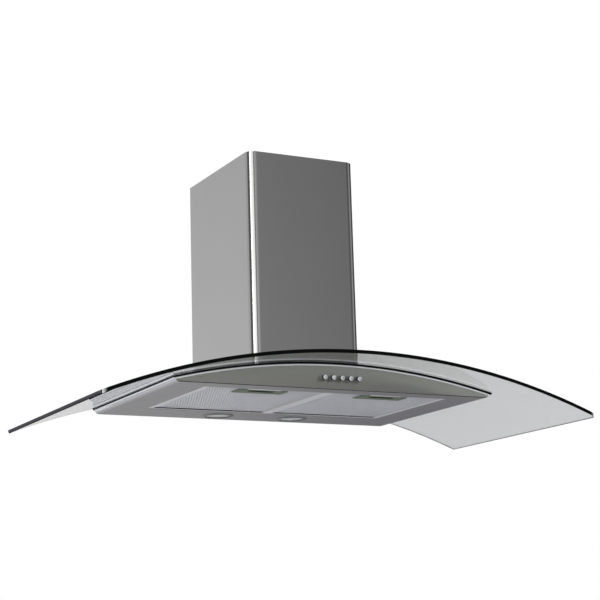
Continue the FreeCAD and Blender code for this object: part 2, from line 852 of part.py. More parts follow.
def make_blower_scroll():
    """Scroll casing hung from the housing's lid, with a round inlet on each side."""
    outer = spiral_block(scroll_sheet, scroll_half_width + scroll_sheet, lid_height)
    inner = spiral_block(0, scroll_half_width, lid_height + 1)
    half = scroll_half_width + scroll_sheet + scroll_flange
    flange = box(-half, half, neck_front - scroll_sheet - scroll_flange,
                 neck_back + scroll_sheet + scroll_flange, lid_height - scroll_sheet, lid_height)
    inlet = rod((-scroll_half_width - 2 * scroll_sheet, shaft_y, shaft_height), axis_x,
                inlet_radius, 2 * scroll_half_width + 4 * scroll_sheet)
    return minus(union([outer, flange]), [inner, inlet])


def make_motor():
    """Motor inside the right half of the impeller, with its bearing bore."""
    body = rod((motor_start, shaft_y, shaft_height), axis_x, motor_radius, motor_end - motor_start)
    edges = [e for e in body.Edges if abs(e.CenterOfMass.x - motor_start) < 0.01]
    body = body.makeFillet(4, edges)
    cap = rod((motor_end, shaft_y, shaft_height), axis_x, motor_cap_radius, motor_cap_length)
    bore = rod((motor_start - 1, shaft_y, shaft_height), axis_x, shaft_radius + pin_clearance,
               bearing_depth() + 1)
    return minus(union([body, cap]), [bore])


def bearing_depth():
    """Depth of the bearing bore in the motor."""
    return (motor_end - motor_start) / 2


def make_motor_shaft():
    """Shaft from the hub into the motor's bearing."""
    start = -hub_radius
    end = motor_start + bearing_depth() - running_gap
    return rod((start, shaft_y, shaft_height), axis_x, shaft_radius, end - start)


def spider_radius():
    """Radius of the screws that hold the spider to the scroll."""
    return inlet_radius + spider_ring / 2 + 1


def spider_angles():
    """Directions of the spider's arms, in degrees about the shaft."""
    return [90 + 360 * i / spider_arms for i in range(spider_arms)]


def about_shaft(shape, degrees):
    """The shape turned about the shaft's axis."""
    turned = shape.copy()
    turned.rotate(V(0, shaft_y, at(shaft_height)), axis_x, degrees)
    return turned


def make_motor_bracket():
    """Spider over the right inlet that carries the motor."""
    start = scroll_half_width + scroll_sheet
    outer_ring = tube((start, shaft_y, shaft_height), axis_x, inlet_radius + 1 + spider_ring,
                      inlet_radius + 1, spider_sheet)
    inner_ring = tube((motor_end, shaft_y, shaft_height), axis_x, motor_radius,
                      motor_cap_radius, start + spider_sheet - motor_end)
    arms = []
    for angle in spider_angles():
        arm = box(start, start + spider_sheet, shaft_y - spider_arm_width / 2,
                  shaft_y + spider_arm_width / 2, shaft_height + motor_cap_radius + spider_ring,
                  shaft_height + inlet_radius + spider_ring)
        arms.append(about_shaft(arm, angle - 90))
    holes = []
    for angle in spider_angles():
        hole = rod((start - 1, shaft_y, shaft_height + spider_radius()), axis_x,
                   screw_radius, spider_sheet + 2)
        holes.append(about_shaft(hole, angle - 90))
    return minus(union([outer_ring, inner_ring] + arms), holes)


def make_motor_screws():
    """Screws through the spider's arms; each ends against the scroll's side."""
    start = scroll_half_width + scroll_sheet + spider_sheet
    one = screw((start, shaft_y, shaft_height + spider_radius()), axis_x * -1, spider_sheet)
    return group([about_shaft(one, angle - 90) for angle in spider_angles()])


def make_impeller():
    """Double-sided drum impeller: a middle disc, two end rings and leaning blades."""
    ring_inner = impeller_radius - impeller_ring_width
    disc = rod((-impeller_sheet / 2, shaft_y, shaft_height), axis_x, impeller_radius, impeller_sheet)
    hub = rod((-hub_radius, shaft_y, shaft_height), axis_x, hub_radius, hub_radius + motor_start / 2)
    pieces = [disc, hub]
    for start in (-impeller_half_width, impeller_half_width - impeller_sheet):
        pieces.append(tube((start, shaft_y, shaft_height), axis_x, impeller_radius, ring_inner,
                           impeller_sheet))
    middle_radius = impeller_radius - impeller_ring_width / 2
    chord = impeller_ring_width * 0.9
    blade = box(-impeller_half_width, impeller_half_width, shaft_y - blade_sheet / 2,
                shaft_y + blade_sheet / 2, shaft_height + middle_radius - chord / 2,
                shaft_height + middle_radius + chord / 2)
    blade.rotate(V(0, shaft_y, at(shaft_height + middle_radius)), axis_x, blade_lean)
    for i in range(blade_count):
        pieces.append(about_shaft(blade, 360 * i / blade_count))
    bore = rod((-hub_radius - 1, shaft_y, shaft_height), axis_x, shaft_radius,
               hub_radius + motor_start + 1)
    return minus(union(pieces), [bore])


def capacitor_x():
    """X of the capacitor's axis, against the left wall of the housing."""
    return -housing_half_width + housing_sheet + clip_sheet + capacitor_radius


def make_run_capacitor():
    """Motor capacitor in the left side of the housing."""
    can = rod((capacitor_x(), -capacitor_from_wall, capacitor_bottom), axis_z, capacitor_radius,
              capacitor_length)
    return can.makeFillet(1.5, [e for e in can.Edges if not is_upright(e)])


def make_capacitor_clip():
    """Band around the capacitor on a plate against the housing's wall."""
    middle = capacitor_bottom + capacitor_length / 2 - clip_height / 2
    x = capacitor_x()
    band = tube((x, -capacitor_from_wall, middle), axis_z, capacitor_radius + clip_sheet,
                capacitor_radius, clip_height)
    wall = -housing_half_width + housing_sheet
    plate = box(wall, wall + clip_sheet, -capacitor_from_wall - capacitor_radius,
                -capacitor_from_wall + capacitor_radius, middle, middle + clip_height)
    core = rod((x, -capacitor_from_wall, middle), axis_z, capacitor_radius, clip_height)
    return minus(union([band, plate]), [core])


# ---- duct collar and damper ---------------------------------------------------------------

def make_duct_collar():
    """Collar for the duct, with the shelf that the damper flaps rest on."""
    inner = collar_radius - collar_wall
    flange = tube((0, collar_y, housing_top_height), axis_z, collar_radius + collar_flange, inner,
                  collar_flange_sheet)
    pipe = tube((0, collar_y, housing_top_height), axis_z, collar_radius, inner, collar_height)
    shelf_top = pin_height - flap_thickness / 2 - running_gap
    shelf = tube((0, collar_y, shelf_top - shelf_thickness), axis_z, collar_radius, inner - shelf_width,
                 shelf_thickness)
    hole = rod((-collar_radius - 1, collar_y, pin_height), axis_x, damper_pin_radius,
               2 * collar_radius + 2)
    knuckle_room = box(-inner, inner, collar_y - flap_root, collar_y + flap_root,
                       shelf_top - shelf_thickness - 1, shelf_top + 1)
    shelf = shelf.cut(knuckle_room.common(rod((0, collar_y, shelf_top - 3), axis_z, inner, 6)))
    return minus(union([flange, pipe] + shelf.Solids), [hole])


def make_damper_pin():
    """Pin across the collar that both flaps turn on."""
    return rod((-collar_radius, collar_y, pin_height), axis_x, damper_pin_radius, 2 * collar_radius)


def make_damper_flap(side):
    """Half-round flap with two knuckles: side is -1 for the front flap, 1 for the rear one."""
    low = pin_height - flap_thickness / 2
    disc = rod((0, collar_y, low), axis_z, flap_radius, flap_thickness)
    far = side * 2 * collar_radius
    root = side * flap_root
    keep = box(-collar_radius, collar_radius, collar_y + min(root, far), collar_y + max(root, far),
               low - 1, low + 2)
    pieces = [disc.common(keep)]
    bores = []
    for offset in knuckle_offsets:
        start = offset if side > 0 else -offset - knuckle_length
        pieces.append(rod((start, collar_y, pin_height), axis_x, knuckle_radius, knuckle_length))
        pieces.append(box(start, start + knuckle_length, collar_y + min(0, root * 1.2),
                          collar_y + max(0, root * 1.2), low, low + flap_thickness))
        bores.append(rod((start - 1, collar_y, pin_height), axis_x,
                         damper_pin_radius + pin_clearance, knuckle_length + 2))
    return minus(union(pieces), bores)


# ---- electrics ----------------------------------------------------------------------------

def make_junction_box():
    """Terminal box on the housing's lid, behind the collar."""
    half = junction_width / 2
    back = -junction_from_wall
    low = housing_top_height
    wall = junction_wall
    block = box(-half, half, junction_front, back, low, junction_top)
    inside = box(-half + wall, half - wall, junction_front + wall, back - wall,
                 low + wall, junction_top + 1)
    return minus(block, [inside])


def make_junction_lid():
    """Lid of the terminal box, with the hole for the gland."""
    half = junction_width / 2
    lid = box(-half, half, junction_front, -junction_from_wall,
              junction_top, junction_top + junction_lid_thickness)
    hole = rod((-gland_offset, junction_y, junction_top - 1), axis_z, gland_bore_radius,
               junction_lid_thickness + 2)
    return minus(lid, [hole])


def make_cable_gland():
    """Gland for the mains lead on the lid of the terminal box, pointing up the chimney."""
    start = (-gland_offset, junction_y, junction_top + junction_lid_thickness)
    body = rod(start, axis_z, gland_radius, gland_length * 0.4)
    nose = rod(start, axis_z, gland_radius * 0.8, gland_length)
    bore = rod(start, axis_z, gland_bore_radius, gland_length + 1)
    return minus(union([body, nose]), [bore])


def make_lamp_driver():
    """Lamp transformer on the underside sheet, behind the right filter."""
    x0 = driver_offset - driver_width / 2
    y1 = -driver_from_wall + driver_depth
    block = box(x0, x0 + driver_width, -driver_from_wall, y1, body_sheet, body_sheet + driver_height)
    return block.makeFillet(1.5, [e for e in block.Edges if is_upright(e)])


# ---- chimney ------------------------------------------------------------------------------

def channel(half, front, back, flange, corner, low, high):
    """Open-backed channel of sheet with rounded front corners and two back flanges."""
    outer = box(-half, half, -front, -back, low, high)
    edges = [e for e in outer.Edges if is_upright(e) and e.CenterOfMass.y < -front + 1]
    outer = outer.makeFillet(corner, edges)
    s = chimney_sheet
    inner = box(-half + s, half - s, -front + s, -back - s, low - 1, high + 1)
    edges = [e for e in inner.Edges if is_upright(e) and e.CenterOfMass.y < -front + s + 1]
    inner = inner.makeFillet(corner - s, edges)
    gap = box(-half + flange, half - flange, -back - 2 * s, -back + 1, low - 1, high + 1)
    return outer.cut([inner, gap])


def make_chimney_lower():
    """Outer chimney section, cut to the curve of the glass that it stands on."""
    shell = channel(chimney_half, chimney_depth, 0, chimney_flange, chimney_corner_radius,
                    0, chimney_top)
    reach = chimney_half + 1
    under = below_band(glass_top_radius + seat_gap, -reach, reach, -chimney_depth - 1, 1, -1)
    return minus(shell, [under])


def make_chimney_upper():
    """Inner chimney section, stored down inside the outer one."""
    foot = glass_top_crown + telescope_foot_gap
    shell = channel(upper_half, upper_front, upper_back, chimney_flange - telescope_gap - chimney_sheet,
                    chimney_corner_radius - chimney_sheet - telescope_gap, foot, upper_top)
    holes = [rod((x, -upper_back - chimney_sheet - 1, bracket_middle()), axis_y, screw_radius,
                 chimney_sheet + 2) for x in bracket_screw_places()]
    return minus(shell, holes)


def bracket_middle():
    """Height of the middle of the wall bracket."""
    return upper_top - bracket_drop - bracket_height / 2


def bracket_screw_places():
    """X of the screws from the bracket into the back flanges."""
    x = upper_half - (chimney_flange - telescope_gap - chimney_sheet) / 2
    return (-x, x)


def make_chimney_bracket():
    """Wall bracket at the top of the inner section, joggled around its back flanges."""
    low = bracket_middle() - bracket_height / 2
    high = low + bracket_height
    bar_half = chimney_half - chimney_flange - bracket_side_gap
    inner_half = upper_half - chimney_sheet
    wing_y1 = -upper_back - chimney_sheet
    wing_y0 = wing_y1 - bracket_sheet
    bar = box(-bar_half, bar_half, -bracket_sheet, 0, low, high)
    pieces = [bar]
    for side in (-1, 1):
        def wall(x0, x1, y0, y1):
            pair = sorted((side * x0, side * x1))
            return box(pair[0], pair[1], y0, y1, low, high)
        pieces.append(wall(bar_half - bracket_sheet, bar_half, wing_y0, 0))
        pieces.append(wall(bar_half - bracket_sheet, inner_half, wing_y0, wing_y1))
        pieces.append(wall(inner_half - bracket_sheet, inner_half, wing_y1 - bracket_ear, wing_y1))
    holes = []
    for side in (-1, 1):
        start = (side * bracket_hole_spacing / 2, -bracket_sheet - 1, bracket_middle())
        holes.append(rod(start, axis_y, bracket_hole_radius, bracket_sheet + 2))
    for x in bracket_screw_places():
        holes.append(rod((x, wing_y0 - 1, bracket_middle()), axis_y, screw_radius, bracket_sheet + 2))
    return minus(union(pieces), holes)


def make_bracket_screws():
    """Screws from the bracket into the back flanges of the inner section."""
    start_y = -upper_back - chimney_sheet - bracket_sheet
    return group([screw((x, start_y, bracket_middle()), axis_y, bracket_sheet + chimney_sheet)
                  for x in bracket_screw_places()])


# ---- nodes --------------------------------------------------------------------------------

os.makedirs("parts", exist_ok=True)

save("glass_canopy", make_glass_canopy())
save("glass_gasket", make_glass_gasket())
save("rim_frame", make_rim_frame())
save("front_fascia", make_front_fascia())
save("underside_panel", make_underside_panel())
save("rear_panel", make_rear_panel())
save("filter_ledge", make_filter_ledge())
save("tray_deck", make_tray_deck())
save("deck_screws", make_deck_screws())
save("wall_plate", make_wall_plate())
save("motor_housing", make_motor_housing())
save("housing_top", make_housing_top())
save("glass_clamps", make_glass_clamps())
save("clamp_screws", make_clamp_screws())
save("blower_scroll", make_blower_scroll())
save("motor", make_motor())
save("motor_shaft", make_motor_shaft())
save("motor_bracket", make_motor_bracket())
save("motor_screws", make_motor_screws())
save("impeller", make_impeller())
save("run_capacitor", make_run_capacitor())
save("capacitor_clip", make_capacitor_clip())
save("duct_collar", make_duct_collar())
save("damper_pin", make_damper_pin())
save("damper_flap_front", make_damper_flap(-1))
save("damper_flap_rear", make_damper_flap(1))
save("junction_box", make_junction_box())
save("junction_lid", make_junction_lid())
save("cable_gland", make_cable_gland())
save("lamp_driver", make_lamp_driver())
save("switch_block", make_switch_block())
save("chimney_lower", make_chimney_lower())
save("chimney_upper", make_chimney_upper())
save("chimney_bracket", make_chimney_bracket())
save("bracket_screws", make_bracket_screws())

for label, x in zip(("off", "low", "medium", "high", "light"), button_places()):
    save("button_" + label, make_button(x))

for label, x in zip(("left", "right"), lamp_places()):
    save("lamp_" + label + "_bezel", make_lamp_bezel(x))
    save("lamp_" + label + "_lens", make_lamp_lens(x))
    save("lamp_" + label + "_reflector", make_lamp_reflector(x))
    save("lamp_" + label + "_bulb", make_lamp_bulb(x))

for label, side in (("left", -1), ("right", 1)):
    save("filter_" + label + "_casing", make_filter_casing(side))
    save("filter_" + label + "_mesh", make_filter_mesh(side))
    save("filter_" + label + "_handle", make_filter_handle(side))
    save("filter_" + label + "_latch", make_filter_latch(side))
    save("filter_" + label + "_spring", make_latch_spring(side))
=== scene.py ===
import bmesh
import bpy
from math import asin, cos, hypot, pi, radians, sin, sqrt
from mathutils import Matrix, Vector


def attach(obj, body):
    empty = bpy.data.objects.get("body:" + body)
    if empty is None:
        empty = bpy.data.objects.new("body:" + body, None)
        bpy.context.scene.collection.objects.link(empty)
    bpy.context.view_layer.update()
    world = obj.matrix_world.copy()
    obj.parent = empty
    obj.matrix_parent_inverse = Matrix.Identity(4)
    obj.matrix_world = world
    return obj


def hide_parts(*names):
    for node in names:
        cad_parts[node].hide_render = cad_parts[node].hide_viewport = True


# Wall-hung range hood with a curved glass canopy. Lengths are written in millimetres, with
# heights measured from the flat underside of the tray, and spot() turns them into metres.

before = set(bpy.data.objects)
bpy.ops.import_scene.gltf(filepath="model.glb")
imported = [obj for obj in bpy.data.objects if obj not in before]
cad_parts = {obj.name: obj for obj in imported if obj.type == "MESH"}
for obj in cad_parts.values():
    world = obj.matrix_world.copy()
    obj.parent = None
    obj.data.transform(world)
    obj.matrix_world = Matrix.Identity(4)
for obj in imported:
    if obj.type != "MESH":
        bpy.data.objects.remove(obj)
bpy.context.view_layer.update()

MM = 0.001
UNDERSIDE = -200.0            # the underside of the tray lies this far below the wall screws

GLASS_UNDER = 1225.0          # radii of the glass, the seal and the rim about the arc's axis
GLASS_OVER = 1231.0
SEAL_UNDER = 1222.2
SIDE_SEAL_UNDER = 1223.1      # the seal is thinner down the sides of the tray
RIM_UNDER = 1219.4
ARC_AXIS = 44.5 - GLASS_UNDER
GLASS_HALF = 450.0
GLASS_FRONT = -456.0
GLASS_BACK = -2.0
GLASS_CORNER = 12.0
NOTCH_HALF = 89.0
NOTCH_FRONT = -238.0

TRAY_FRONT = -366.0
TRAY_TOP_HALF = 295.0
TRAY_FOOT_HALF = 287.5
HOUSING_HALF = 86.0
RIM_FRONT = -367.8
RIM_WIDTH = 14.0
SEAL_WIDTH = 1.5
SEAL_PROUD = 2.4              # how far the seal stands out in front of the rim
STRIP_WIDTH = 17.0

RECESS_HALF = 228.0
RECESS_FRONT = -332.0
RECESS_BACK = -84.0
BAY_INNER, BAY_OUTER = 10.0, 218.0
BAY_FRONT, BAY_BACK = -329.0, -88.0

FILTER_MIDDLE = 114.0
FILTER_HALF = 103.0
FILTER_FRONT, FILTER_BACK = -328.0, -100.0
FILTER_LOW, FILTER_TOP = 1.6, 10.6
PULL_FRONT = -314.0
CUP_HALF = 31.0
CUP_FRONT, CUP_BACK = -325.0, -288.4

LAMP_X, LAMP_Y = 74.0, -42.0
BUTTON_X = {"off": -32.0, "low": -16.0, "medium": 0.0, "high": 16.0, "light": 32.0}
# BARREL_BACK is where the barrel's painted reflection changes from near black, in front, to dull
# grey behind.
BUTTON_FRONT, BARREL_BACK = -377.0, -371.8
BUTTON_HEIGHT = 18.0

CHIMNEY_HALF = 104.0
CHIMNEY_FRONT = -255.0
CHIMNEY_FOOT, CHIMNEY_TOP = 20.0, 432.0
CHIMNEY_CORNER = 16.0
FLANGE = 14.0                 # width of the chimney's back flanges

FLOOR_HEIGHT = -1.25          # in metres, as the camera's numbers are
FOCAL_LENGTH = 98.68
CAMERA_PLACE = (-1.2876, -2.7113, -0.6257)
CAMERA_TURN = (0.47906, 0.21313, -0.02928)   # azimuth, elevation and roll in radians


# ---- modelling ----------------------------------------------------------------------------

def spot(x, y, height):
    """Point in metres from its place in millimetres and its height above the underside."""
    return Vector((x, y, height + UNDERSIDE)) * MM


def arc_height(radius, x):
    """Height of an arc of that radius about the canopy's axis, at a distance from mid width."""
    return ARC_AXIS + sqrt(radius * radius - x * x)


def pick(piece):
    """Makes a piece the only one selected."""
    bpy.ops.object.select_all(action="DESELECT")
    piece.select_set(True)
    bpy.context.view_layer.objects.active = piece


def settle(name):
    """Names the newest piece and moves its place, turn and size into its mesh."""
    piece = bpy.context.object
    piece.name = name
    piece.data.name = name
    bpy.ops.object.transform_apply(location=True, rotation=True, scale=True)
    return piece


def block(name, x0, x1, y0, y1, h0, h1):
    """Block between two corners."""
    bpy.ops.object.select_all(action="DESELECT")
    middle = spot((x0 + x1) / 2, (y0 + y1) / 2, (h0 + h1) / 2)
    bpy.ops.mesh.primitive_cube_add(size=1, location=middle)
    bpy.context.object.scale = Vector((x1 - x0, y1 - y0, h1 - h0)) * MM
    return settle(name)


def drum(name, radius, length, middle, turn=(0, 0, 0), sides=64):
    """Round bar about its middle, along Z unless turned."""
    bpy.ops.object.select_all(action="DESELECT")
    bpy.ops.mesh.primitive_cylinder_add(vertices=sides, radius=radius * MM, depth=length * MM,
                                        location=spot(*middle), rotation=turn)
    return settle(name)


def edit(piece, kind="FACE"):
    """Opens a piece for editing with nothing chosen."""
    pick(piece)
    bpy.ops.object.mode_set(mode="EDIT")
    bpy.ops.mesh.select_mode(type=kind)
    bpy.ops.mesh.select_all(action="DESELECT")
    return bmesh.from_edit_mesh(piece.data)


def leave():
    """Closes the piece that is being edited."""
    bpy.ops.object.mode_set(mode="OBJECT")


def choose_faces(piece, test):
    """Opens a piece with the faces chosen whose middle and normal pass the test."""
    shell = edit(piece, "FACE")
    for face in shell.faces:
        face.select_set(test(face.calc_center_median(), face.normal))
    shell.select_flush_mode()
    bmesh.update_edit_mesh(piece.data)


def choose_edges(piece, test):
    """Opens a piece with the edges chosen whose two ends pass the test."""
    shell = edit(piece, "EDGE")
    for edge in shell.edges:
        edge.select_set(test(edge.verts[0].co, edge.verts[1].co))
    shell.select_flush_mode()
    bmesh.update_edit_mesh(piece.data)


def tidy_shell(piece):
    """Merges doubled points and turns every face outwards."""
    edit(piece)
    bpy.ops.mesh.select_all(action="SELECT")
    bpy.ops.mesh.remove_doubles(threshold=0.000002)
    bpy.ops.mesh.normals_make_consistent(inside=False)
    leave()


def finish_with(piece, kind, **settings):
    """Adds a modifier to a piece and applies it."""
    pick(piece)
    modifier = piece.modifiers.new(kind.title(), kind)
    for name, value in settings.items():
        setattr(modifier, name, value)
    bpy.ops.object.modifier_apply(modifier=modifier.name)


def combine(piece, other, operation="DIFFERENCE"):
    """Cuts, joins or crosses a piece with another one, which is used up."""
    finish_with(piece, "BOOLEAN", object=other, operation=operation, solver="EXACT")
    bpy.data.objects.remove(other)


def soften(piece, width, segments=2, angle=40):
    """Rounds the sharp edges of a piece and shades its curved faces smooth."""
    finish_with(piece, "BEVEL", width=width * MM, segments=segments, limit_method="ANGLE",
                angle_limit=radians(angle), miter_outer="MITER_ARC")
    pick(piece)
    bpy.ops.object.shade_smooth_by_angle(angle=radians(32))
    finish_with(piece, "WEIGHTED_NORMAL", weight=100, keep_sharp=True)


def round_uprights(piece, radius, test, segments=8):
    """Rounds the upright edges of a block that pass the test."""
    choose_edges(piece, lambda a, b: abs(a.z - b.z) > MM / 2
                 and hypot(a.x - b.x, a.y - b.y) < MM / 99 and test(a))
    bpy.ops.mesh.bevel(offset=radius * MM, segments=segments, affect="EDGES")
    leave()


def round_fold(sheet, radius, test, segments):
    """Rounds the folds of an open sheet whose two ends pass the test."""
    choose_edges(sheet, lambda a, b: test(a) and test(b))
    bpy.ops.mesh.bevel(offset=radius * MM, segments=segments, affect="EDGES")
    leave()


def turn_outwards(sheet, order, letter):
    """Turns an open sheet so that the face that comes first in order looks down the axis."""
    edit(sheet)
    bpy.ops.mesh.select_all(action="SELECT")
    bpy.ops.mesh.normals_make_consistent(inside=False)
    leave()
    first = min(sheet.data.polygons, key=order)
    if getattr(first.normal, letter) > 0:
        edit(sheet)
        bpy.ops.mesh.select_all(action="SELECT")
        bpy.ops.mesh.flip_normals()
        leave()


def chain(name, points):
    """Open run of edges through points, each one drawn out of the last."""
    bpy.ops.object.select_all(action="DESELECT")
    bpy.ops.mesh.primitive_plane_add(size=MM, location=points[0])
    piece = settle(name)
    edit(piece, "VERT")
    bpy.ops.mesh.select_all(action="SELECT")
    bpy.ops.mesh.merge(type="CENTER")
    for here, there in zip(points, points[1:]):
        bpy.ops.mesh.extrude_region_move(TRANSFORM_OT_translate={"value": there - here})
    leave()
    return piece


def turned(name, profile, middle, turn=(0, 0, 0), steps=48):
    """Closed profile of (radius, rise) points turned once round an axis through a point."""
    points = [Vector((radius, 0, rise)) * MM for radius, rise in profile]
    piece = chain(name, points)
    edit(piece, "VERT")
    bpy.ops.mesh.select_all(action="SELECT")
    bpy.ops.mesh.spin(steps=steps, angle=2 * pi, center=(0, 0, 0), axis=(0, 0, 1))
    leave()
    tidy_shell(piece)
    piece.rotation_euler = turn
    piece.location = spot(*middle)
    pick(piece)
    return settle(name)


def arched_bar(name, low, high, half, y0, y1, steps=48):
    """Bar bent about the canopy's axis, between two radii and two depths."""
    bpy.ops.object.select_all(action="DESELECT")
    middle = spot(0, (y0 + y1) / 2, ARC_AXIS + (low + high) / 2)
    bpy.ops.mesh.primitive_plane_add(size=1, location=middle, rotation=(0, pi / 2, 0))
    bpy.context.object.scale = Vector(((high - low) * MM, (y1 - y0) * MM, 1))
    piece = settle(name)
    edit(piece)
    bpy.ops.mesh.select_all(action="SELECT")
    bpy.ops.mesh.spin(steps=steps, angle=asin(half / high), center=spot(0, 0, ARC_AXIS),
                      axis=(0, 1, 0))
    leave()
    choose_faces(piece, lambda at, normal: abs(at.x) < MM / 99 and abs(normal.x) > 0.9)
    bpy.ops.mesh.delete(type="ONLY_FACE")
    leave()
    finish_with(piece, "MIRROR", use_mirror_merge=True, merge_threshold=0.00001)
    tidy_shell(piece)
    return piece


def copied(piece, name, shift):
    """Copy of a finished piece, moved, with its own mesh."""
    pick(piece)
    bpy.ops.object.duplicate(linked=False)
    bpy.context.object.location = Vector(shift) * MM
    return settle(name)


def joined(name, pieces):
    """Several loose shapes as one piece."""
    pick(pieces[0])
    for piece in pieces:
        piece.select_set(True)
    bpy.ops.object.join()
    return settle(name)


# ---- finishes -----------------------------------------------------------------------------

class Value:
    """A number that varies over a surface. Sums on it add Math nodes."""

    def __init__(self, finish, socket):
        self.finish = finish
        self.socket = socket

    def sum(self, operation, *others):
        return self.finish.node("ShaderNodeMath", {"operation": operation}, [self, *others])

    def __add__(self, other):
        return self.sum("ADD", other)

    __radd__ = __add__

    def __mul__(self, other):
        return self.sum("MULTIPLY", other)

    __rmul__ = __mul__

    def __sub__(self, other):
        return self.sum("SUBTRACT", other)

    def __rsub__(self, other):
        return self.finish.node("ShaderNodeMath", {"operation": "SUBTRACT"}, [other, self])

    def __truediv__(self, other):
        return self.sum("DIVIDE", other)

    def __rtruediv__(self, other):
        return self.finish.node("ShaderNodeMath", {"operation": "DIVIDE"}, [other, self])

    def __gt__(self, other):
        return self.sum("GREATER_THAN", other)

    def __lt__(self, other):
        return self.sum("LESS_THAN", other)


class Finish:
    """A surface finish made of nodes. Keywords set the shader's own sockets."""

    def __init__(self, name, **constants):
        self.material = bpy.data.materials.new(name)
        self.material.use_nodes = True
        self.tree = self.material.node_tree
        self.shader = self.tree.nodes["Principled BSDF"]
        for word, number in constants.items():
            socket = word.replace("_", " ").title().replace("Ior", "IOR")
            self.shader.inputs[socket].default_value = number

    def node(self, kind, settings=None, inputs=(), output=0):
        """One node: its settings first, then its sockets by number or name."""
        node = self.tree.nodes.new(kind)
        for name, setting in (settings or {}).items():
            if name == "stops":
                self.set_stops(node.color_ramp, setting)
            else:
                setattr(node, name, setting)
        pairs = inputs.items() if isinstance(inputs, dict) else enumerate(inputs)
        for name, given in pairs:
            if isinstance(given, Value):
                self.tree.links.new(given.socket, node.inputs[name])
            elif given is not None:
                node.inputs[name].default_value = given
        return Value(self, node.outputs[output])

    def set_stops(self, ramp, stops):
        """Stops of a colour ramp as (place, colour)."""
        while len(ramp.elements) < len(stops):
            ramp.elements.new(0.5)
        for element, (place, colour) in zip(ramp.elements, stops):
            element.position = place
            element.color = (*colour, 1)

    def feed(self, socket, given):
        """Links a varying value to one of the shader's sockets."""
        self.tree.links.new(given.socket, self.shader.inputs[socket])

    def place(self, stretch=(1, 1, 1)):
        """Place on the piece, with a stretch along each axis."""
        corner = self.node("ShaderNodeTexCoord", output="Object")
        return self.node("ShaderNodeMapping", {"vector_type": "POINT"},
                         {"Vector": corner, "Scale": stretch})

    def noise(self, scale, detail=2.0, stretch=(1, 1, 1), roughness=0.5):
        """Soft noise from 0 to 1, with a number of waves to the metre."""
        return self.node("ShaderNodeTexNoise",
                         inputs={"Vector": self.place(stretch), "Scale": scale,
                                 "Detail": detail, "Roughness": roughness})

    def cells(self, scale, stretch=(1, 1, 1), output="Distance"):
        """Cell pattern, with a number of cells to the metre."""
        return self.node("ShaderNodeTexVoronoi",
                         inputs={"Vector": self.place(stretch), "Scale": scale}, output=output)

    def limits(self, value, low, high, out_low=0.0, out_high=1.0):
        """The value between two limits, spread smoothly over two others."""
        return self.node("ShaderNodeMapRange", {"interpolation_type": "SMOOTHSTEP"},
                         [value, low, high, out_low, out_high])

    def mix(self, share, first, second):
        """Two colours mixed by a share."""
        return self.node("ShaderNodeMix", {"data_type": "RGBA"},
                         {0: share, 6: self.colour(first), 7: self.colour(second)}, output=2)

    def colour(self, given):
        return given if isinstance(given, Value) else (*given, 1)

    def bump(self, height, strength, distance):
        """Feeds a relief, in metres at full height, to the shader."""
        relief = self.node("ShaderNodeBump", inputs={"Strength": strength, "Distance": distance,
                                                     "Height": height})
        self.feed("Normal", relief)

    def root(self, value):
        """Square root of a value."""
        return self.node("ShaderNodeMath", {"operation": "SQRT"}, [value])

    def axis(self, letter):
        """One coordinate of the place on the surface, in metres."""
        return self.node("ShaderNodeSeparateXYZ", inputs=[self.place()], output=letter)


def shade(colour, factor):
    """A colour made lighter or darker."""
    return tuple(min(1.0, part * factor) for part in colour)


def brushed(name, colour, grain, roughness=0.3, contrast=0.02, metal=1.0, specular=0.5):
    """Brushed metal. The grain runs along the axis with the small stretch."""
    finish = Finish(name, metallic=metal, specular_ior_level=specular)
    fine = finish.noise(2600, 1, grain, 0.6)
    broad = finish.noise(420, 1, grain)
    cloud = finish.noise(6, 2)
    tone = fine * 0.35 + broad * 0.15 + cloud * 0.5
    finish.feed("Base Color", finish.mix(finish.limits(tone, 0.3, 0.7),
                                         shade(colour, 1 - contrast), shade(colour, 1 + contrast)))
    finish.feed("Roughness", finish.limits(fine * 0.7 + cloud * 0.3, 0.25, 0.75,
                                           roughness - 0.03, roughness + 0.04))
    finish.bump(fine, 0.04, 0.00001)
    return finish


def polished(name, colour, roughness=0.08, haze=0.06, metal=1.0):
    """Polished or plated metal with faint wipe marks."""
    finish = Finish(name, metallic=metal)
    wipe = finish.noise(40, 3, (1, 0.3, 1))
    dust = finish.noise(600, 2)
    finish.feed("Base Color", finish.mix(wipe, shade(colour, 0.95), shade(colour, 1.04)))
    finish.feed("Roughness", finish.limits(wipe * 0.7 + dust * 0.3, 0.3, 0.75,
                                           roughness, roughness + haze))
    return finish


def zinc_coated(name, colour, spangle=90):
    """Zinc-coated sheet with flat crystals of differing brightness."""
    finish = Finish(name, metallic=0.9)
    crystals = finish.node("ShaderNodeSeparateColor",
                           inputs=[finish.cells(spangle, output="Color")], output="Red")
    cloud = finish.noise(12, 3)
    tone = crystals * 0.55 + cloud * 0.45
    finish.feed("Base Color", finish.mix(tone, shade(colour, 0.86), shade(colour, 1.12)))
    finish.feed("Roughness", finish.limits(crystals * 0.6 + cloud * 0.4, 0.1, 0.9, 0.34, 0.52))
    finish.bump(finish.noise(220, 2), 0.08, 0.0002)
    return finish


def grained_nonmetal(name, colour, roughness=0.42, grain=1400, specular=0.45):
    """Dull non-metal with a fine grain: moulded plastic or rubber, and also the near-black painted
    shade and painted reflection on some steel parts.
    """
    finish = Finish(name, specular_ior_level=specular)
    cloud = finish.noise(18, 3)
    skin = finish.noise(grain, 2)
    finish.feed("Base Color", finish.mix(cloud * 0.6 + skin * 0.4, shade(colour, 0.88),
                                         shade(colour, 1.12)))
    finish.feed("Roughness", finish.limits(skin, 0.25, 0.75, roughness - 0.06, roughness + 0.08))
    finish.bump(skin, 0.15, 0.00005)
    return finish


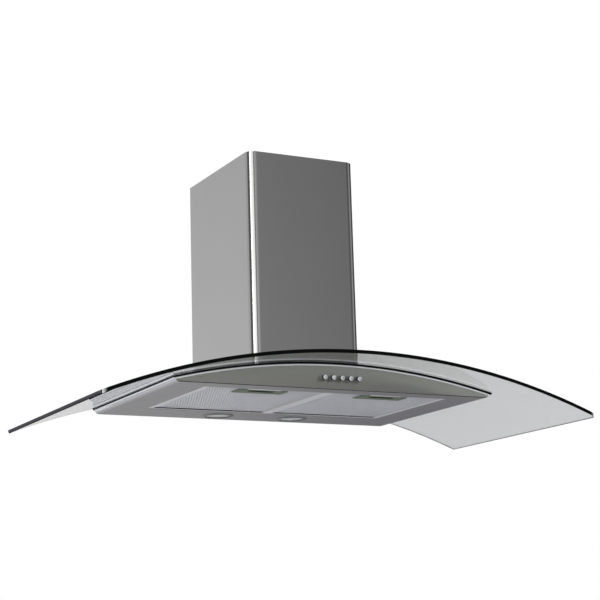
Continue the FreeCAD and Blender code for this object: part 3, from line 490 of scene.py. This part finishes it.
def clear_glass(name, tint, smear=0.0, clarity=1.0, **constants):
    """Glass that lets the lamps' light through. Less clarity makes it milky."""
    finish = Finish(name, transmission_weight=clarity, ior=1.5, **constants)
    wipe = finish.noise(9, 3, (1, 0.4, 1))
    finish.feed("Base Color", finish.mix(wipe, shade(tint, 0.985), shade(tint, 1.01)))
    if smear:
        finish.feed("Roughness", finish.limits(wipe, 0.35, 0.75, 0.0, smear))
    clear = finish.tree.nodes.new("ShaderNodeBsdfTransparent")
    clear.inputs[0].default_value = (0.82, 0.86, 0.84, 1)
    rays = finish.node("ShaderNodeLightPath", output="Is Shadow Ray")
    both = finish.tree.nodes.new("ShaderNodeMixShader")
    finish.tree.links.new(rays.socket, both.inputs[0])
    finish.tree.links.new(finish.shader.outputs[0], both.inputs[1])
    finish.tree.links.new(clear.outputs[0], both.inputs[2])
    out = finish.tree.nodes["Material Output"]
    finish.tree.links.new(both.outputs[0], out.inputs["Surface"])
    return finish


def ground_edge():
    """Ground edge of the glass: almost black along the front, grey down the sides."""
    finish = Finish("glass_edge", roughness=0.3, specular_ior_level=0.05)
    flat_half = (GLASS_HALF - 1.5) * MM
    side = finish.axis("X") * finish.axis("X") > flat_half * flat_half
    grind = finish.noise(300, 3, (1, 1, 8))
    front = finish.mix(grind, (0.0015, 0.002, 0.002), (0.003, 0.004, 0.0035))
    flank = finish.mix(grind, (0.055, 0.052, 0.064), (0.085, 0.08, 0.097))
    finish.feed("Base Color", finish.mix(side, front, flank))
    return finish


def polished_corner():
    """Rounded corner of the glass, polished after grinding."""
    finish = Finish("glass_corner", roughness=0.12, coat_weight=1.0, coat_roughness=0.05,
                    coat_ior=2.0)
    grind = finish.noise(300, 3, (1, 1, 8))
    finish.feed("Base Color", finish.mix(grind, (0.02, 0.02, 0.025), (0.035, 0.035, 0.042)))
    return finish


def folded_side():
    """Side of the tray, with a painted highlight: brighter towards the seal than at the fold."""
    finish = Finish("brushed_steel_side_painted_highlight", metallic=1.0)
    rise = finish.limits(finish.axis("Z"), (UNDERSIDE + 0.2) * MM, (UNDERSIDE + 5.5) * MM)
    grain = finish.noise(1600, 1, (1, 0.002, 1))
    dull = finish.mix(grain, (0.38, 0.37, 0.38), (0.42, 0.41, 0.42))
    # The bright colour is a painted highlight, mixed in towards the seal.
    painted_highlight = finish.mix(grain, (0.8, 0.82, 0.86), (0.86, 0.88, 0.92))
    finish.feed("Base Color", finish.mix(rise, dull, painted_highlight))
    finish.feed("Roughness", finish.limits(grain, 0.3, 0.7, 0.22, 0.3))
    return finish


def paint(piece, finishes, which):
    """Gives a piece several finishes, and each face the one whose number which() returns."""
    piece.data.materials.clear()
    for finish in finishes:
        piece.data.materials.append(finish.material)
    for face in piece.data.polygons:
        face.material_index = which(face)


def dress(piece, finish, body, slot, *nodes):
    """Gives a new piece its finish, its body and the nodes that it stands for."""
    if finish:
        piece.data.materials.clear()
        piece.data.materials.append(finish.material)
    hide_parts(*nodes)
    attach(piece, body)


def refinish(finish, *nodes, edge=0.0):
    """Gives CAD nodes a finish, and their sharp edges a small round."""
    for name in nodes:
        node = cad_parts[name]
        node.data.materials.clear()
        node.data.materials.append(finish.material)
        if edge:
            weld = node.modifiers.new("weld", "WELD")
            weld.merge_threshold = 0.000002
            round_over = node.modifiers.new("round_over", "BEVEL")
            round_over.width = edge * MM
            round_over.segments = 2
            round_over.limit_method = "ANGLE"
            round_over.angle_limit = radians(40)
            round_over.harden_normals = True


UPRIGHT_GRAIN, LEVEL_GRAIN = (1, 1, 0.0015), (0.0015, 1, 1)

steel_chimney = brushed("brushed_steel_chimney", (0.37, 0.365, 0.365), UPRIGHT_GRAIN, 0.17)
steel_fascia = brushed("brushed_steel_fascia", (0.345, 0.35, 0.325), LEVEL_GRAIN, 0.22)
steel_underside = brushed("brushed_steel_underside", (0.37, 0.355, 0.36), LEVEL_GRAIN, 0.27)
steel_side = folded_side()
steel_handle = brushed("satin_steel_handle", (0.11, 0.15, 0.095), (0.004, 1, 1), 0.4,
                       contrast=0.03, metal=0.1, specular=0.12)
steel_lamp = brushed("brushed_steel_lamp_ring", (0.2, 0.2, 0.2), (0.05, 1, 1), 0.3)
# Painted shade: near black for the filters' rear tabs, where the gap behind the filters lies in
# shade.
painted_shade_steel = grained_nonmetal("tab_steel_painted_shade", (0.03, 0.03, 0.034), 0.5)
# Painted shade: near black for the underside's front edge, seen in the joint below the fascia.
painted_shade_edge = grained_nonmetal("edge_painted_shade", (0.02, 0.02, 0.018), 0.6)
steel_lip = polished("polished_steel_lip", (0.88, 0.89, 0.92), 0.16)
mirror = polished("reflector_mirror", (0.93, 0.96, 0.94), 0.05, metal=0.12)
aluminium = brushed("satin_aluminium", (0.74, 0.74, 0.76), (0.05, 1, 1), 0.4,
                    contrast=0.03, metal=0.6)
button_face = polished("button_face", (0.8, 0.84, 0.88), 0.2, 0.08)
# The buttons are chrome: the barrel's front part is painted near black, a painted reflection of the
# dark hole round it, and the shank behind gets a dull steel grey, a painted reflection of the
# fascia.
button_barrel = grained_nonmetal("button_barrel", (0.006, 0.007, 0.01), 0.22)
button_shank = polished("button_shank", (0.42, 0.42, 0.4), 0.3, 0.08)
mesh_aluminium = polished("mesh_aluminium", (0.93, 0.94, 0.98), 0.3, 0.12, 0.85)
foil = polished("pleated_foil", (0.42, 0.43, 0.455), 0.5, 0.1, 0.15)
galvanised = zinc_coated("galvanised_sheet", (0.5, 0.51, 0.52))
zinc = polished("zinc_plate", (0.62, 0.62, 0.6), 0.24, 0.12)
rubber = grained_nonmetal("seal_rubber", (0.002, 0.002, 0.0025), 0.8, specular=0.04)
white_plastic = grained_nonmetal("white_plastic", (0.62, 0.61, 0.58))
black_plastic = grained_nonmetal("black_plastic", (0.018, 0.018, 0.02))
impeller_plastic = grained_nonmetal("impeller_plastic", (0.06, 0.062, 0.066))
motor_paint = grained_nonmetal("motor_enamel", (0.045, 0.047, 0.05), 0.34, 700)
canopy_glass = clear_glass("canopy_glass", (0.665, 0.685, 0.68), roughness=0.0)
lamp_glass = clear_glass("lamp_glass", (0.96, 1.0, 0.97), 0.06, 0.3)
canopy_edge = ground_edge()
canopy_corner = polished_corner()


# ---- glass canopy and its seal ------------------------------------------------------------

def make_canopy():
    """Bent sheet of glass with rounded front corners and a notch for the motor housing."""
    sheet = arched_bar("canopy_glass", GLASS_UNDER, GLASS_OVER, GLASS_HALF, GLASS_FRONT,
                       GLASS_BACK, 60)
    outline = block("outline", -GLASS_HALF, GLASS_HALF, GLASS_FRONT, GLASS_BACK, -80, 80)
    round_uprights(outline, GLASS_CORNER, lambda at: at.y < GLASS_FRONT / 2 * MM)
    combine(sheet, outline, "INTERSECT")
    notch = block("notch", -NOTCH_HALF, NOTCH_HALF, NOTCH_FRONT, 20, -80, 80)
    round_uprights(notch, 5, lambda at: at.y < -0.1, 4)
    combine(sheet, notch)
    soften(sheet, 0.5, 2, 50)
    axis = spot(0, 0, ARC_AXIS)

    def which(face):
        across = Vector((face.center.x - axis.x, 0, face.center.z - axis.z)).normalized()
        if abs(face.normal.dot(across)) > 0.97:
            return 0
        return 2 if face.normal.y < -0.2 and abs(face.normal.x) > 0.2 else 1

    paint(sheet, (canopy_glass, canopy_edge, canopy_corner), which)
    dress(sheet, None, "hood", "glass", "glass_canopy")


def arched_ring(name, low, high, half, front, width):
    """Four-sided ring bent with the glass and open around the motor housing."""
    ring = arched_bar(name, low, high, half, front, 0)
    combine(ring, block("inside", -half + width, half - width, front + width, -width, -80, 90))
    combine(ring, block("gap", -HOUSING_HALF, HOUSING_HALF, -width - 2, 5, -80, 90))
    return ring


def make_rim():
    """Rim that carries the glass, with a bright lip along the top of the fascia."""
    ring = arched_ring("tray_rim", RIM_UNDER, SEAL_UNDER, 293.0, RIM_FRONT, RIM_WIDTH)
    lip = arched_bar("lip", RIM_UNDER, SEAL_UNDER, TRAY_TOP_HALF, RIM_FRONT, TRAY_FRONT + 1)
    combine(ring, lip, "UNION")
    soften(ring, 0.6, 3)
    dress(ring, steel_lip, "hood", "polished_steel", "rim_frame")


def make_seal():
    """Rubber seal between the rim and the glass, with two strips beside the housing."""
    ring = arched_ring("glass_seal", SIDE_SEAL_UNDER, GLASS_UNDER, TRAY_TOP_HALF + 1,
                       RIM_FRONT - SEAL_PROUD, SEAL_WIDTH + SEAL_PROUD)
    front = arched_bar("front", SEAL_UNDER, GLASS_UNDER, TRAY_TOP_HALF + 1, RIM_FRONT - SEAL_PROUD,
                       RIM_FRONT + SEAL_WIDTH)
    combine(ring, front, "UNION")
    strips = arched_bar("strips", SEAL_UNDER, GLASS_UNDER, NOTCH_HALF + STRIP_WIDTH,
                        RIM_FRONT + SEAL_WIDTH, -SEAL_WIDTH + 1)
    combine(strips, block("between", -NOTCH_HALF, NOTCH_HALF, RIM_FRONT, 5, 0, 90))
    combine(ring, strips, "UNION")
    soften(ring, 0.5)
    dress(ring, rubber, "hood", "gasket", "glass_gasket")


# ---- tray ---------------------------------------------------------------------------------

def side_rise():
    """Height of the tray's slanted side, and how far it leans out at the rim's underside."""
    rise = arc_height(SIDE_SEAL_UNDER, TRAY_TOP_HALF)
    lean = (TRAY_TOP_HALF - TRAY_FOOT_HALF) * (rise - 3.2) / rise
    return rise, lean


def make_fascia():
    """Front panel with an arched top, slanted ends and five button holes."""
    rise, lean = side_rise()
    panel = block("fascia", -TRAY_TOP_HALF, TRAY_TOP_HALF, TRAY_FRONT, TRAY_FRONT + 1, 1.1, 60)
    under_lip = arched_bar("under_lip", 900, RIM_UNDER, 330, TRAY_FRONT - 5, TRAY_FRONT + 5, 64)
    combine(panel, under_lip, "INTERSECT")
    for side in (-1, 1):
        edit(panel)
        bpy.ops.mesh.select_all(action="SELECT")
        bpy.ops.mesh.bisect(plane_co=spot(side * TRAY_FOOT_HALF, 0, 0.8),
                            plane_no=(side * (rise - 3.2), 0, -lean),
                            use_fill=True, clear_outer=True)
        leave()
    for x in BUTTON_X.values():
        combine(panel, drum("hole", 5.4, 8, (x, TRAY_FRONT, BUTTON_HEIGHT), (pi / 2, 0, 0), 40))
    foot = block("foot", -267.5, 267.5, TRAY_FRONT + 0.5, TRAY_FRONT + 11, 1.0, 2.0)
    combine(panel, foot, "UNION")
    soften(panel, 0.25)
    dress(panel, steel_fascia, "hood", "brushed_steel", "front_fascia")


def make_underside():
    """Flat underside folded up at its slanted sides, with the filter opening and lamp holes."""
    rise = side_rise()[0]
    front = TRAY_FRONT + 1.4
    path = [spot(-TRAY_TOP_HALF, front, rise), spot(-TRAY_FOOT_HALF, front, 0),
            spot(TRAY_FOOT_HALF, front, 0), spot(TRAY_TOP_HALF, front, rise)]
    sheet = chain("underside", path)
    edit(sheet, "EDGE")
    bpy.ops.mesh.select_all(action="SELECT")
    bpy.ops.mesh.extrude_region_move(TRANSFORM_OT_translate={"value": (0, -front * MM, 0)})
    leave()
    round_fold(sheet, 2.2, lambda at: abs(abs(at.x) - TRAY_FOOT_HALF * MM) < MM / 9, 5)
    turn_outwards(sheet, lambda face: -face.area, "z")
    finish_with(sheet, "SOLIDIFY", thickness=MM, offset=-1)
    combine(sheet, block("opening", -RECESS_HALF, RECESS_HALF, RECESS_FRONT, RECESS_BACK, -5, 5))
    for x in (-LAMP_X, LAMP_X):
        combine(sheet, drum("hole", 25, 8, (x, LAMP_Y, 0)))
    soften(sheet, 0.25)

    # The front edge, seen in the joint below the fascia, is painted near black as painted shade, and
    # the slanted sides carry a painted highlight towards the seal.
    def which(face):
        if face.normal.y < -0.7 and face.center.y < (front + 0.5) * MM:
            return 2
        return 1 if abs(face.center.x) > (TRAY_FOOT_HALF - 0.6) * MM else 0

    paint(sheet, (steel_underside, steel_side, painted_shade_edge), which)
    dress(sheet, None, "hood", "brushed_steel", "underside_panel")


def make_ledge():
    """Light frame round the two filter bays, with the bar between them."""
    outer = RECESS_HALF + 8
    frame_plate = block("bay_frame", -outer, outer, RECESS_FRONT - 8, RECESS_BACK + 8, 1, 2)
    for side in (-1, 1):
        x0, x1 = sorted((side * BAY_INNER, side * BAY_OUTER))
        bay = block("bay", x0, x1, BAY_FRONT, BAY_BACK, -5, 5)
        round_uprights(bay, 1.5, lambda at: True, 3)
        combine(frame_plate, bay)
    soften(frame_plate, 0.3)
    dress(frame_plate, aluminium, "hood", "satin_aluminium", "filter_ledge")


# ---- grease filters -----------------------------------------------------------------------

def make_casing():
    """Shallow tray of the left filter, with a lip, two rear tabs and a slot for the latch."""
    x0, x1 = -FILTER_MIDDLE - FILTER_HALF, -FILTER_MIDDLE + FILTER_HALF
    tray = block("filter_left_frame", x0, x1, FILTER_FRONT, FILTER_BACK, FILTER_LOW, FILTER_TOP)
    round_uprights(tray, 1.2, lambda at: True, 3)
    combine(tray, block("inside", x0 + 1, x1 - 1, FILTER_FRONT + 1, FILTER_BACK - 1, 2.4, 15))
    window = block("window", x0 + 3, x1 - 3, FILTER_FRONT + 3, FILTER_BACK - 3, 0, 5)
    round_uprights(window, 1.5, lambda at: True, 3)
    combine(tray, window)
    combine(tray, block("slot", -FILTER_MIDDLE - 10.3, -FILTER_MIDDLE + 10.3, FILTER_FRONT - 1,
                        FILTER_FRONT + 2, 2.4, 4.2))
    for offset in (-70, 70):
        middle = -FILTER_MIDDLE + offset
        tab = block("tab", middle - 10, middle + 10, FILTER_BACK - 1, BAY_BACK + 8, 2.3, 3.5)
        round_uprights(tab, 2, lambda at: at.y > BAY_BACK * MM, 3)
        combine(tray, tab, "UNION")
    soften(tray, 0.3)
    # The rear tabs are painted near black as painted shade, carrying on the shadowed gap behind the
    # filter.
    paint(tray, (aluminium, painted_shade_steel),
          lambda face: int(face.center.y > (FILTER_BACK + 0.3) * MM))
    return tray


def expanded_sheet(name, across, along, strand, low, thickness):
    """Sheet of expanded metal over the left filter: a net of diamonds with real openings."""
    reach_x, reach_y = FILTER_HALF - 1.2, (FILTER_BACK - FILTER_FRONT) / 2 - 1.2
    count = int(2 * (reach_x / across + reach_y / along)) + 3
    bpy.ops.object.select_all(action="DESELECT")
    bpy.ops.mesh.primitive_grid_add(x_subdivisions=count, y_subdivisions=count, size=count * MM)
    net = settle(name)
    net.rotation_euler = (0, 0, pi / 4)
    pick(net)
    settle(name)
    net.scale = (across / sqrt(2), along / sqrt(2), 1)
    net.location = spot(-FILTER_MIDDLE, (FILTER_FRONT + FILTER_BACK) / 2, low)
    pick(net)
    settle(name)
    middle = spot(-FILTER_MIDDLE, (FILTER_FRONT + FILTER_BACK) / 2, low)
    edit(net)
    for normal, reach in (((1, 0, 0), reach_x), ((-1, 0, 0), reach_x),
                          ((0, 1, 0), reach_y), ((0, -1, 0), reach_y)):
        bpy.ops.mesh.select_all(action="SELECT")
        bpy.ops.mesh.bisect(plane_co=middle + Vector(normal) * reach * MM, plane_no=normal,
                            clear_outer=True)
    leave()
    choose_faces(net, lambda at, normal: abs(at.x + FILTER_MIDDLE * MM) < (CUP_HALF + 1) * MM
                 and at.y < (CUP_BACK + 1) * MM)
    bpy.ops.mesh.delete(type="FACE")
    leave()
    whole = across * along / 2 * MM * MM
    shell = edit(net)
    for face in shell.faces:
        face.select_set(face.calc_area() > whole * 0.6)
    bmesh.update_edit_mesh(net.data)
    bpy.ops.mesh.inset(use_individual=True, thickness=strand * MM / 2, use_even_offset=True)
    bpy.ops.mesh.delete(type="FACE")
    leave()
    finish_with(net, "SOLIDIFY", thickness=thickness * MM, offset=1, use_even_offset=False)
    return net


def make_pleat():
    """Pleated foil between the two sheets of net."""
    x0 = -FILTER_MIDDLE - FILTER_HALF + 2
    folds = 24
    pitch = 2 * (FILTER_HALF - 2) / folds
    y0 = CUP_BACK + 1.5
    heights = (5.2, 6.8)
    points = [spot(x0 + i * pitch, y0, heights[i % 2]) for i in range(folds + 1)]
    pleat = chain("pleat", points)
    edit(pleat, "EDGE")
    bpy.ops.mesh.select_all(action="SELECT")
    reach = (FILTER_BACK - 2 - y0) * MM
    bpy.ops.mesh.extrude_region_move(TRANSFORM_OT_translate={"value": (0, reach, 0)})
    leave()
    finish_with(pleat, "SOLIDIFY", thickness=0.2 * MM, offset=0)
    return pleat


def make_net():
    """Filling of the left filter: two sheets of net with a pleated foil between them."""
    lower = expanded_sheet("lower_net", 4.6, 12.0, 1.5, 2.5, 0.5)
    upper = expanded_sheet("upper_net", 12.0, 8.0, 1.6, 9.9, 0.5)
    net = joined("filter_left_net", [lower, upper, make_pleat()])
    paint(net, (mesh_aluminium, foil),
          lambda face: int(4.4 < face.center.z / MM - UNDERSIDE < 7.6))
    return net


def make_handle():
    """Flush pull plate with a finger window, on the cup that guides the latch."""
    middle = -FILTER_MIDDLE
    plate = block("filter_left_pull", middle - 46, middle + 46, PULL_FRONT, PULL_FRONT + 32,
                  FILTER_LOW, 2.4)
    round_uprights(plate, 3, lambda at: True, 5)
    floor = block("floor", middle - CUP_HALF, middle + CUP_HALF, CUP_FRONT, CUP_BACK, 1.9, 2.4)
    combine(plate, floor, "UNION")
    cup = block("cup", middle - CUP_HALF, middle + CUP_HALF, CUP_FRONT, CUP_BACK, 2.0, 9.4)
    combine(plate, cup, "UNION")
    wall = 0.8
    combine(plate, block("hollow", middle - CUP_HALF + wall, middle + CUP_HALF - wall,
                         CUP_FRONT + wall, CUP_BACK - wall, 2.4, 8.6))
    window = block("window", middle - 23, middle + 23, PULL_FRONT + 3, PULL_FRONT + 17, 0, 4)
    round_uprights(window, 3, lambda at: True, 5)
    combine(plate, window)
    combine(plate, block("slot", middle - 10.3, middle + 10.3, CUP_FRONT - 1, CUP_FRONT + 2,
                         2.4, 4.2))
    soften(plate, 0.2)
    paint(plate, (steel_handle, aluminium),
          lambda face: int(face.center.y < (PULL_FRONT - 0.3) * MM and face.normal.z < -0.5))
    return plate


def make_filters():
    """Both filters, the right one copied from the left one."""
    parts = ((make_casing(), "casing", None, "satin_aluminium"),
             (make_net(), "mesh", None, "filter_mesh"),
             (make_handle(), "handle", None, "handle_steel"))
    for left, word, finish, slot in parts:
        right = copied(left, left.name.replace("left", "right"), (2 * FILTER_MIDDLE, 0, 0))
        dress(left, finish, "left_filter", slot, "filter_left_" + word)
        dress(right, finish, "right_filter", slot, "filter_right_" + word)


# ---- lamps and buttons --------------------------------------------------------------------

def make_lamps():
    """Both lamps, the right one copied from the left one."""
    middle = (-LAMP_X, LAMP_Y, 0)
    bezel = turned("lamp_left_ring",
                   [(22, -1.2), (22.6, -1.8), (24, -2), (26, -1.8), (27.4, -1.1), (28, 0),
                    (24.7, 0), (24.7, 12), (0, 12), (0, 11), (23.7, 11), (23.7, 0), (22, 0),
                    (22, -1.2)],
                   middle, steps=72)
    lens = turned("lamp_left_cover",
                  [(0, 0.05), (23.3, 0.05), (23.6, 0.3), (23.6, 1.2), (23.3, 1.45), (0, 1.45),
                   (0, 0.05)], middle, steps=72)
    dish = turned("lamp_left_dish",
                  [(23.6, 1.6), (23.6, 2.6), (22, 5.5), (20, 7.6), (17, 9.4), (13, 10.9),
                   (4.5, 10.9), (4.5, 9.9), (12, 9.9), (15.6, 8.6), (18.6, 6.7), (20.8, 4.4),
                   (22.6, 1.6), (23.6, 1.6)], middle, steps=72)
    capsule = turned("lamp_left_capsule",
                     [(0, -8), (1.3, -7.7), (2.1, -6.8), (2.25, -5.5), (2.25, 5.5), (2.1, 6.8),
                      (1.3, 7.7), (0, 8), (0, -8)], (-LAMP_X, LAMP_Y, 4.75), (0, pi / 2, 0), 24)
    neck = drum("neck", 1.9, 6.0, (-LAMP_X, LAMP_Y, 7.95), sides=24)
    combine(capsule, neck, "UNION")
    for piece in (bezel, lens, dish, capsule):
        pick(piece)
        bpy.ops.object.shade_smooth_by_angle(angle=radians(35))
    parts = ((bezel, "bezel", steel_lamp, "lamp_chrome"),
             (lens, "lens", lamp_glass, "lamp_glass"),
             (dish, "reflector", mirror, "lamp_mirror"),
             (capsule, "bulb", lamp_glass, "lamp_glass"))
    for left, word, finish, slot in parts:
        right = copied(left, left.name.replace("left", "right"), (2 * LAMP_X, 0, 0))
        dress(left, finish, "hood", slot, "lamp_left_" + word)
        dress(right, finish, "hood", slot, "lamp_right_" + word)


def make_buttons():
    """Five push buttons with domed caps, copied from the first."""
    profile = [(0, 0), (2.6, 0.08), (3.9, 0.25), (4.55, 0.6), (4.9, 1.15), (5, 1.8), (5, 3.6),
               (4.8, 3.75), (4.8, 4.1), (5, 4.25), (5, 14), (3, 14), (3, 27), (0, 27), (0, 0)]
    first = None
    for name, x in BUTTON_X.items():
        if first is None:
            first = turned("button_cap_off", profile, (x, BUTTON_FRONT, BUTTON_HEIGHT),
                           (-pi / 2, 0, 0), 40)
            pick(first)
            bpy.ops.object.shade_smooth_by_angle(angle=radians(35))
            # Painted reflection: the flat face keeps the chrome colour, the barrel next to it is
            # painted near black and the shank behind it dull grey.
            paint(first, (button_face, button_barrel, button_shank),
                  lambda face: 0 if face.normal.y < -0.97
                  else 1 + int(face.center.y > BARREL_BACK * MM))
            cap = first
        else:
            cap = copied(first, "button_cap_" + name, (x - BUTTON_X["off"], 0, 0))
        dress(cap, None, name + "_button", "button_chrome", "button_" + name)


# ---- chimney ------------------------------------------------------------------------------

def make_chimney():
    """Outer chimney section: a folded channel with rounded front corners and back flanges."""
    h = CHIMNEY_HALF
    corners = ((-h + FLANGE, 0), (-h, 0), (-h, CHIMNEY_FRONT),
               (h, CHIMNEY_FRONT), (h, 0), (h - FLANGE, 0))
    path = [spot(x, y, CHIMNEY_FOOT) for x, y in corners]
    sheet = chain("chimney_cover", path)
    edit(sheet, "EDGE")
    bpy.ops.mesh.select_all(action="SELECT")
    rise = (CHIMNEY_TOP - CHIMNEY_FOOT) * MM
    bpy.ops.mesh.extrude_region_move(TRANSFORM_OT_translate={"value": (0, 0, rise)})
    leave()
    for depth, radius, segments in ((CHIMNEY_FRONT, CHIMNEY_CORNER, 18), (0, 1.6, 3)):
        round_fold(sheet, radius, lambda at: abs(abs(at.x) - h * MM) < MM / 9
                   and abs(at.y - depth * MM) < MM / 9, segments)
    turn_outwards(sheet, lambda face: face.center.y, "y")
    finish_with(sheet, "SOLIDIFY", thickness=MM, offset=-1, use_even_offset=True)
    combine(sheet, arched_bar("glass_room", 900, GLASS_OVER + 0.2, 200, -300, 20, 64))
    soften(sheet, 0.25)
    dress(sheet, steel_chimney, "hood", "brushed_steel", "chimney_lower")


make_canopy()
make_rim()
make_seal()
make_fascia()
make_underside()
make_ledge()
make_filters()
make_lamps()
make_buttons()
make_chimney()

refinish(galvanised, "rear_panel", "tray_deck", "wall_plate", "motor_housing", "housing_top",
         "glass_clamps", "blower_scroll", "motor_bracket", "capacitor_clip", "duct_collar",
         "damper_flap_front", "damper_flap_rear", "chimney_bracket")
refinish(steel_chimney, "chimney_upper")
refinish(zinc, "deck_screws", "clamp_screws", "motor_screws", "bracket_screws", "motor_shaft",
         "damper_pin", "filter_left_spring", "filter_right_spring")
refinish(motor_paint, "motor")
refinish(impeller_plastic, "impeller")
refinish(white_plastic, "run_capacitor", "junction_box", "junction_lid", "lamp_driver")
refinish(black_plastic, "switch_block", "cable_gland")
refinish(steel_handle, "filter_left_latch", "filter_right_latch")


# ---- floor, light and camera --------------------------------------------------------------

def make_floor():
    """Pale floor that keeps the hood's shadow. Metal sees it in tones, and from below it's clear."""
    bpy.ops.object.select_all(action="DESELECT")
    bpy.ops.mesh.primitive_plane_add(size=40, location=(0, 0, FLOOR_HEIGHT))
    floor = settle("floor")
    finish = Finish("floor_paint", roughness=0.9)
    plain = finish.mix(finish.noise(2, 2), (0.78, 0.78, 0.78), (0.82, 0.82, 0.82))
    across = finish.axis("X")
    away = finish.axis("Y")
    reach = finish.root(across * across + away * away)
    far = finish.limits(reach, 2.4, 5.0)
    mirrored = finish.mix(finish.limits(across / away, 0.34, 0.64),
                          finish.mix(far, (0.97, 0.97, 1.0), (0.5, 0.5, 0.5)),
                          finish.mix(far, (0.54, 0.54, 0.58), (0.28, 0.28, 0.305)))
    glossy = finish.node("ShaderNodeLightPath", output="Is Glossy Ray")
    finish.feed("Base Color", finish.mix(glossy, plain, mirrored))
    clear = finish.tree.nodes.new("ShaderNodeBsdfTransparent")
    both = finish.tree.nodes.new("ShaderNodeMixShader")
    behind = finish.node("ShaderNodeNewGeometry", output="Backfacing")
    finish.tree.links.new(behind.socket, both.inputs[0])
    finish.tree.links.new(finish.shader.outputs[0], both.inputs[1])
    finish.tree.links.new(clear.outputs[0], both.inputs[2])
    finish.tree.links.new(both.outputs[0], finish.tree.nodes["Material Output"].inputs["Surface"])
    floor.data.materials.append(finish.material)


# Brightness that metal sees, by the degrees turned from the wall to the left.
STUDIO = ((-180, 1.0), (-166, 0.8), (-160, 0.64), (-155, 0.55), (-151, 0.43), (-146, 0.26),
          (-126, 0.18),
          (-117, 0.75), (-102, 0.75), (-88, 0.1), (-44, 0.1), (-30, 0.6), (0, 0.9), (28, 1.08),
          (72, 1.0), (84, 0.2), (108, 0.2), (124, 2.7), (153, 2.7), (161, 0.2), (167, 0.2),
          (173, 1.2), (180, 1.05))


def make_world():
    """White to the eye. Metal sees soft screens and dark cards round about."""
    world = bpy.data.worlds.new("studio")
    bpy.context.scene.world = world
    world.use_nodes = True
    tree = world.node_tree
    background = tree.nodes["Background"]

    def number(operation, first, second):
        node = tree.nodes.new("ShaderNodeMath")
        node.operation = operation
        for socket, given in zip(node.inputs, (first, second)):
            if isinstance(given, (int, float)):
                socket.default_value = given
            else:
                tree.links.new(given, socket)
        return node.outputs[0]

    def spread(value, low, high, out_low, out_high):
        node = tree.nodes.new("ShaderNodeMapRange")
        node.interpolation_type = "SMOOTHSTEP"
        tree.links.new(value, node.inputs[0])
        for socket, given in zip(list(node.inputs)[1:5], (low, high, out_low, out_high)):
            socket.default_value = given
        return node.outputs[0]

    direction = tree.nodes.new("ShaderNodeTexCoord").outputs["Generated"]
    parts = tree.nodes.new("ShaderNodeSeparateXYZ")
    tree.links.new(direction, parts.inputs[0])
    rays = tree.nodes.new("ShaderNodeLightPath")
    turn = number("ARCTAN2", number("MULTIPLY", parts.outputs["X"], -1.0), parts.outputs["Y"])
    ramp = tree.nodes.new("ShaderNodeValToRGB")
    tree.links.new(number("ADD", number("DIVIDE", turn, 2 * pi), 0.5), ramp.inputs[0])
    while len(ramp.color_ramp.elements) < len(STUDIO):
        ramp.color_ramp.elements.new(0.5)
    for element, (degrees, level) in zip(ramp.color_ramp.elements, STUDIO):
        element.position = (degrees + 180) / 360
        element.color = (level / 3, level / 3, level / 3, 1)
    round_about = number("MULTIPLY", ramp.outputs["Color"], 3.0)
    higher = spread(parts.outputs["Z"], 0.05, 0.6, 1.0, 0.55)
    gloss = number("MULTIPLY", round_about, higher)
    plain = 0.62
    seen = number("MAXIMUM", rays.outputs["Is Camera Ray"], rays.outputs["Is Transmission Ray"])
    glossy = rays.outputs["Is Glossy Ray"]
    level = number("ADD", number("MULTIPLY", glossy, gloss),
                   number("MULTIPLY", number("SUBTRACT", 1.0, glossy), plain))
    level = number("ADD", number("MULTIPLY", seen, 1.0),
                   number("MULTIPLY", number("SUBTRACT", 1.0, seen), level))
    tree.links.new(level, background.inputs["Strength"])
    background.inputs["Color"].default_value = (1, 1, 1, 1)


def lamp(name, power, size, place, aim, shape="RECTANGLE"):
    """Soft lamp at a place, turned towards a point."""
    light = bpy.data.lights.new(name, "AREA")
    light.shape = shape
    light.size, light.size_y = size
    light.energy = power
    holder = bpy.data.objects.new(name, light)
    bpy.context.scene.collection.objects.link(holder)
    holder.location = place
    holder.rotation_euler = (Vector(aim) - Vector(place)).to_track_quat("-Z", "Y").to_euler()
    return holder


def make_camera():
    """Camera to the front left of the hood and below it."""
    azimuth, elevation, roll = CAMERA_TURN
    forward = Vector((sin(azimuth) * cos(elevation), cos(azimuth) * cos(elevation),
                      sin(elevation)))
    side = Vector((cos(azimuth), -sin(azimuth), 0))
    above = side.cross(forward)
    right = cos(roll) * side + sin(roll) * above
    up = cos(roll) * above - sin(roll) * side
    data = bpy.data.cameras.new("camera")
    data.sensor_width = 36
    data.lens = FOCAL_LENGTH
    data.clip_end = 100
    camera = bpy.data.objects.new("camera", data)
    bpy.context.scene.collection.objects.link(camera)
    turn = Matrix((right, up, -forward)).transposed().to_4x4()
    camera.matrix_world = Matrix.Translation(CAMERA_PLACE) @ turn
    bpy.context.scene.camera = camera


make_floor()
make_world()
lamp("side_lamp", 16, (0.5, 1.6), (-3.2, -1.95, 0.75), (-0.1, -0.25, 0.1))
lamp("top_lamp", 60, (2.4, 2.4), (0.8, -1.6, 3.2), (0, -0.2, 0)).visible_glossy = False
make_camera()
bpy.context.scene.view_settings.view_transform = "Standard"
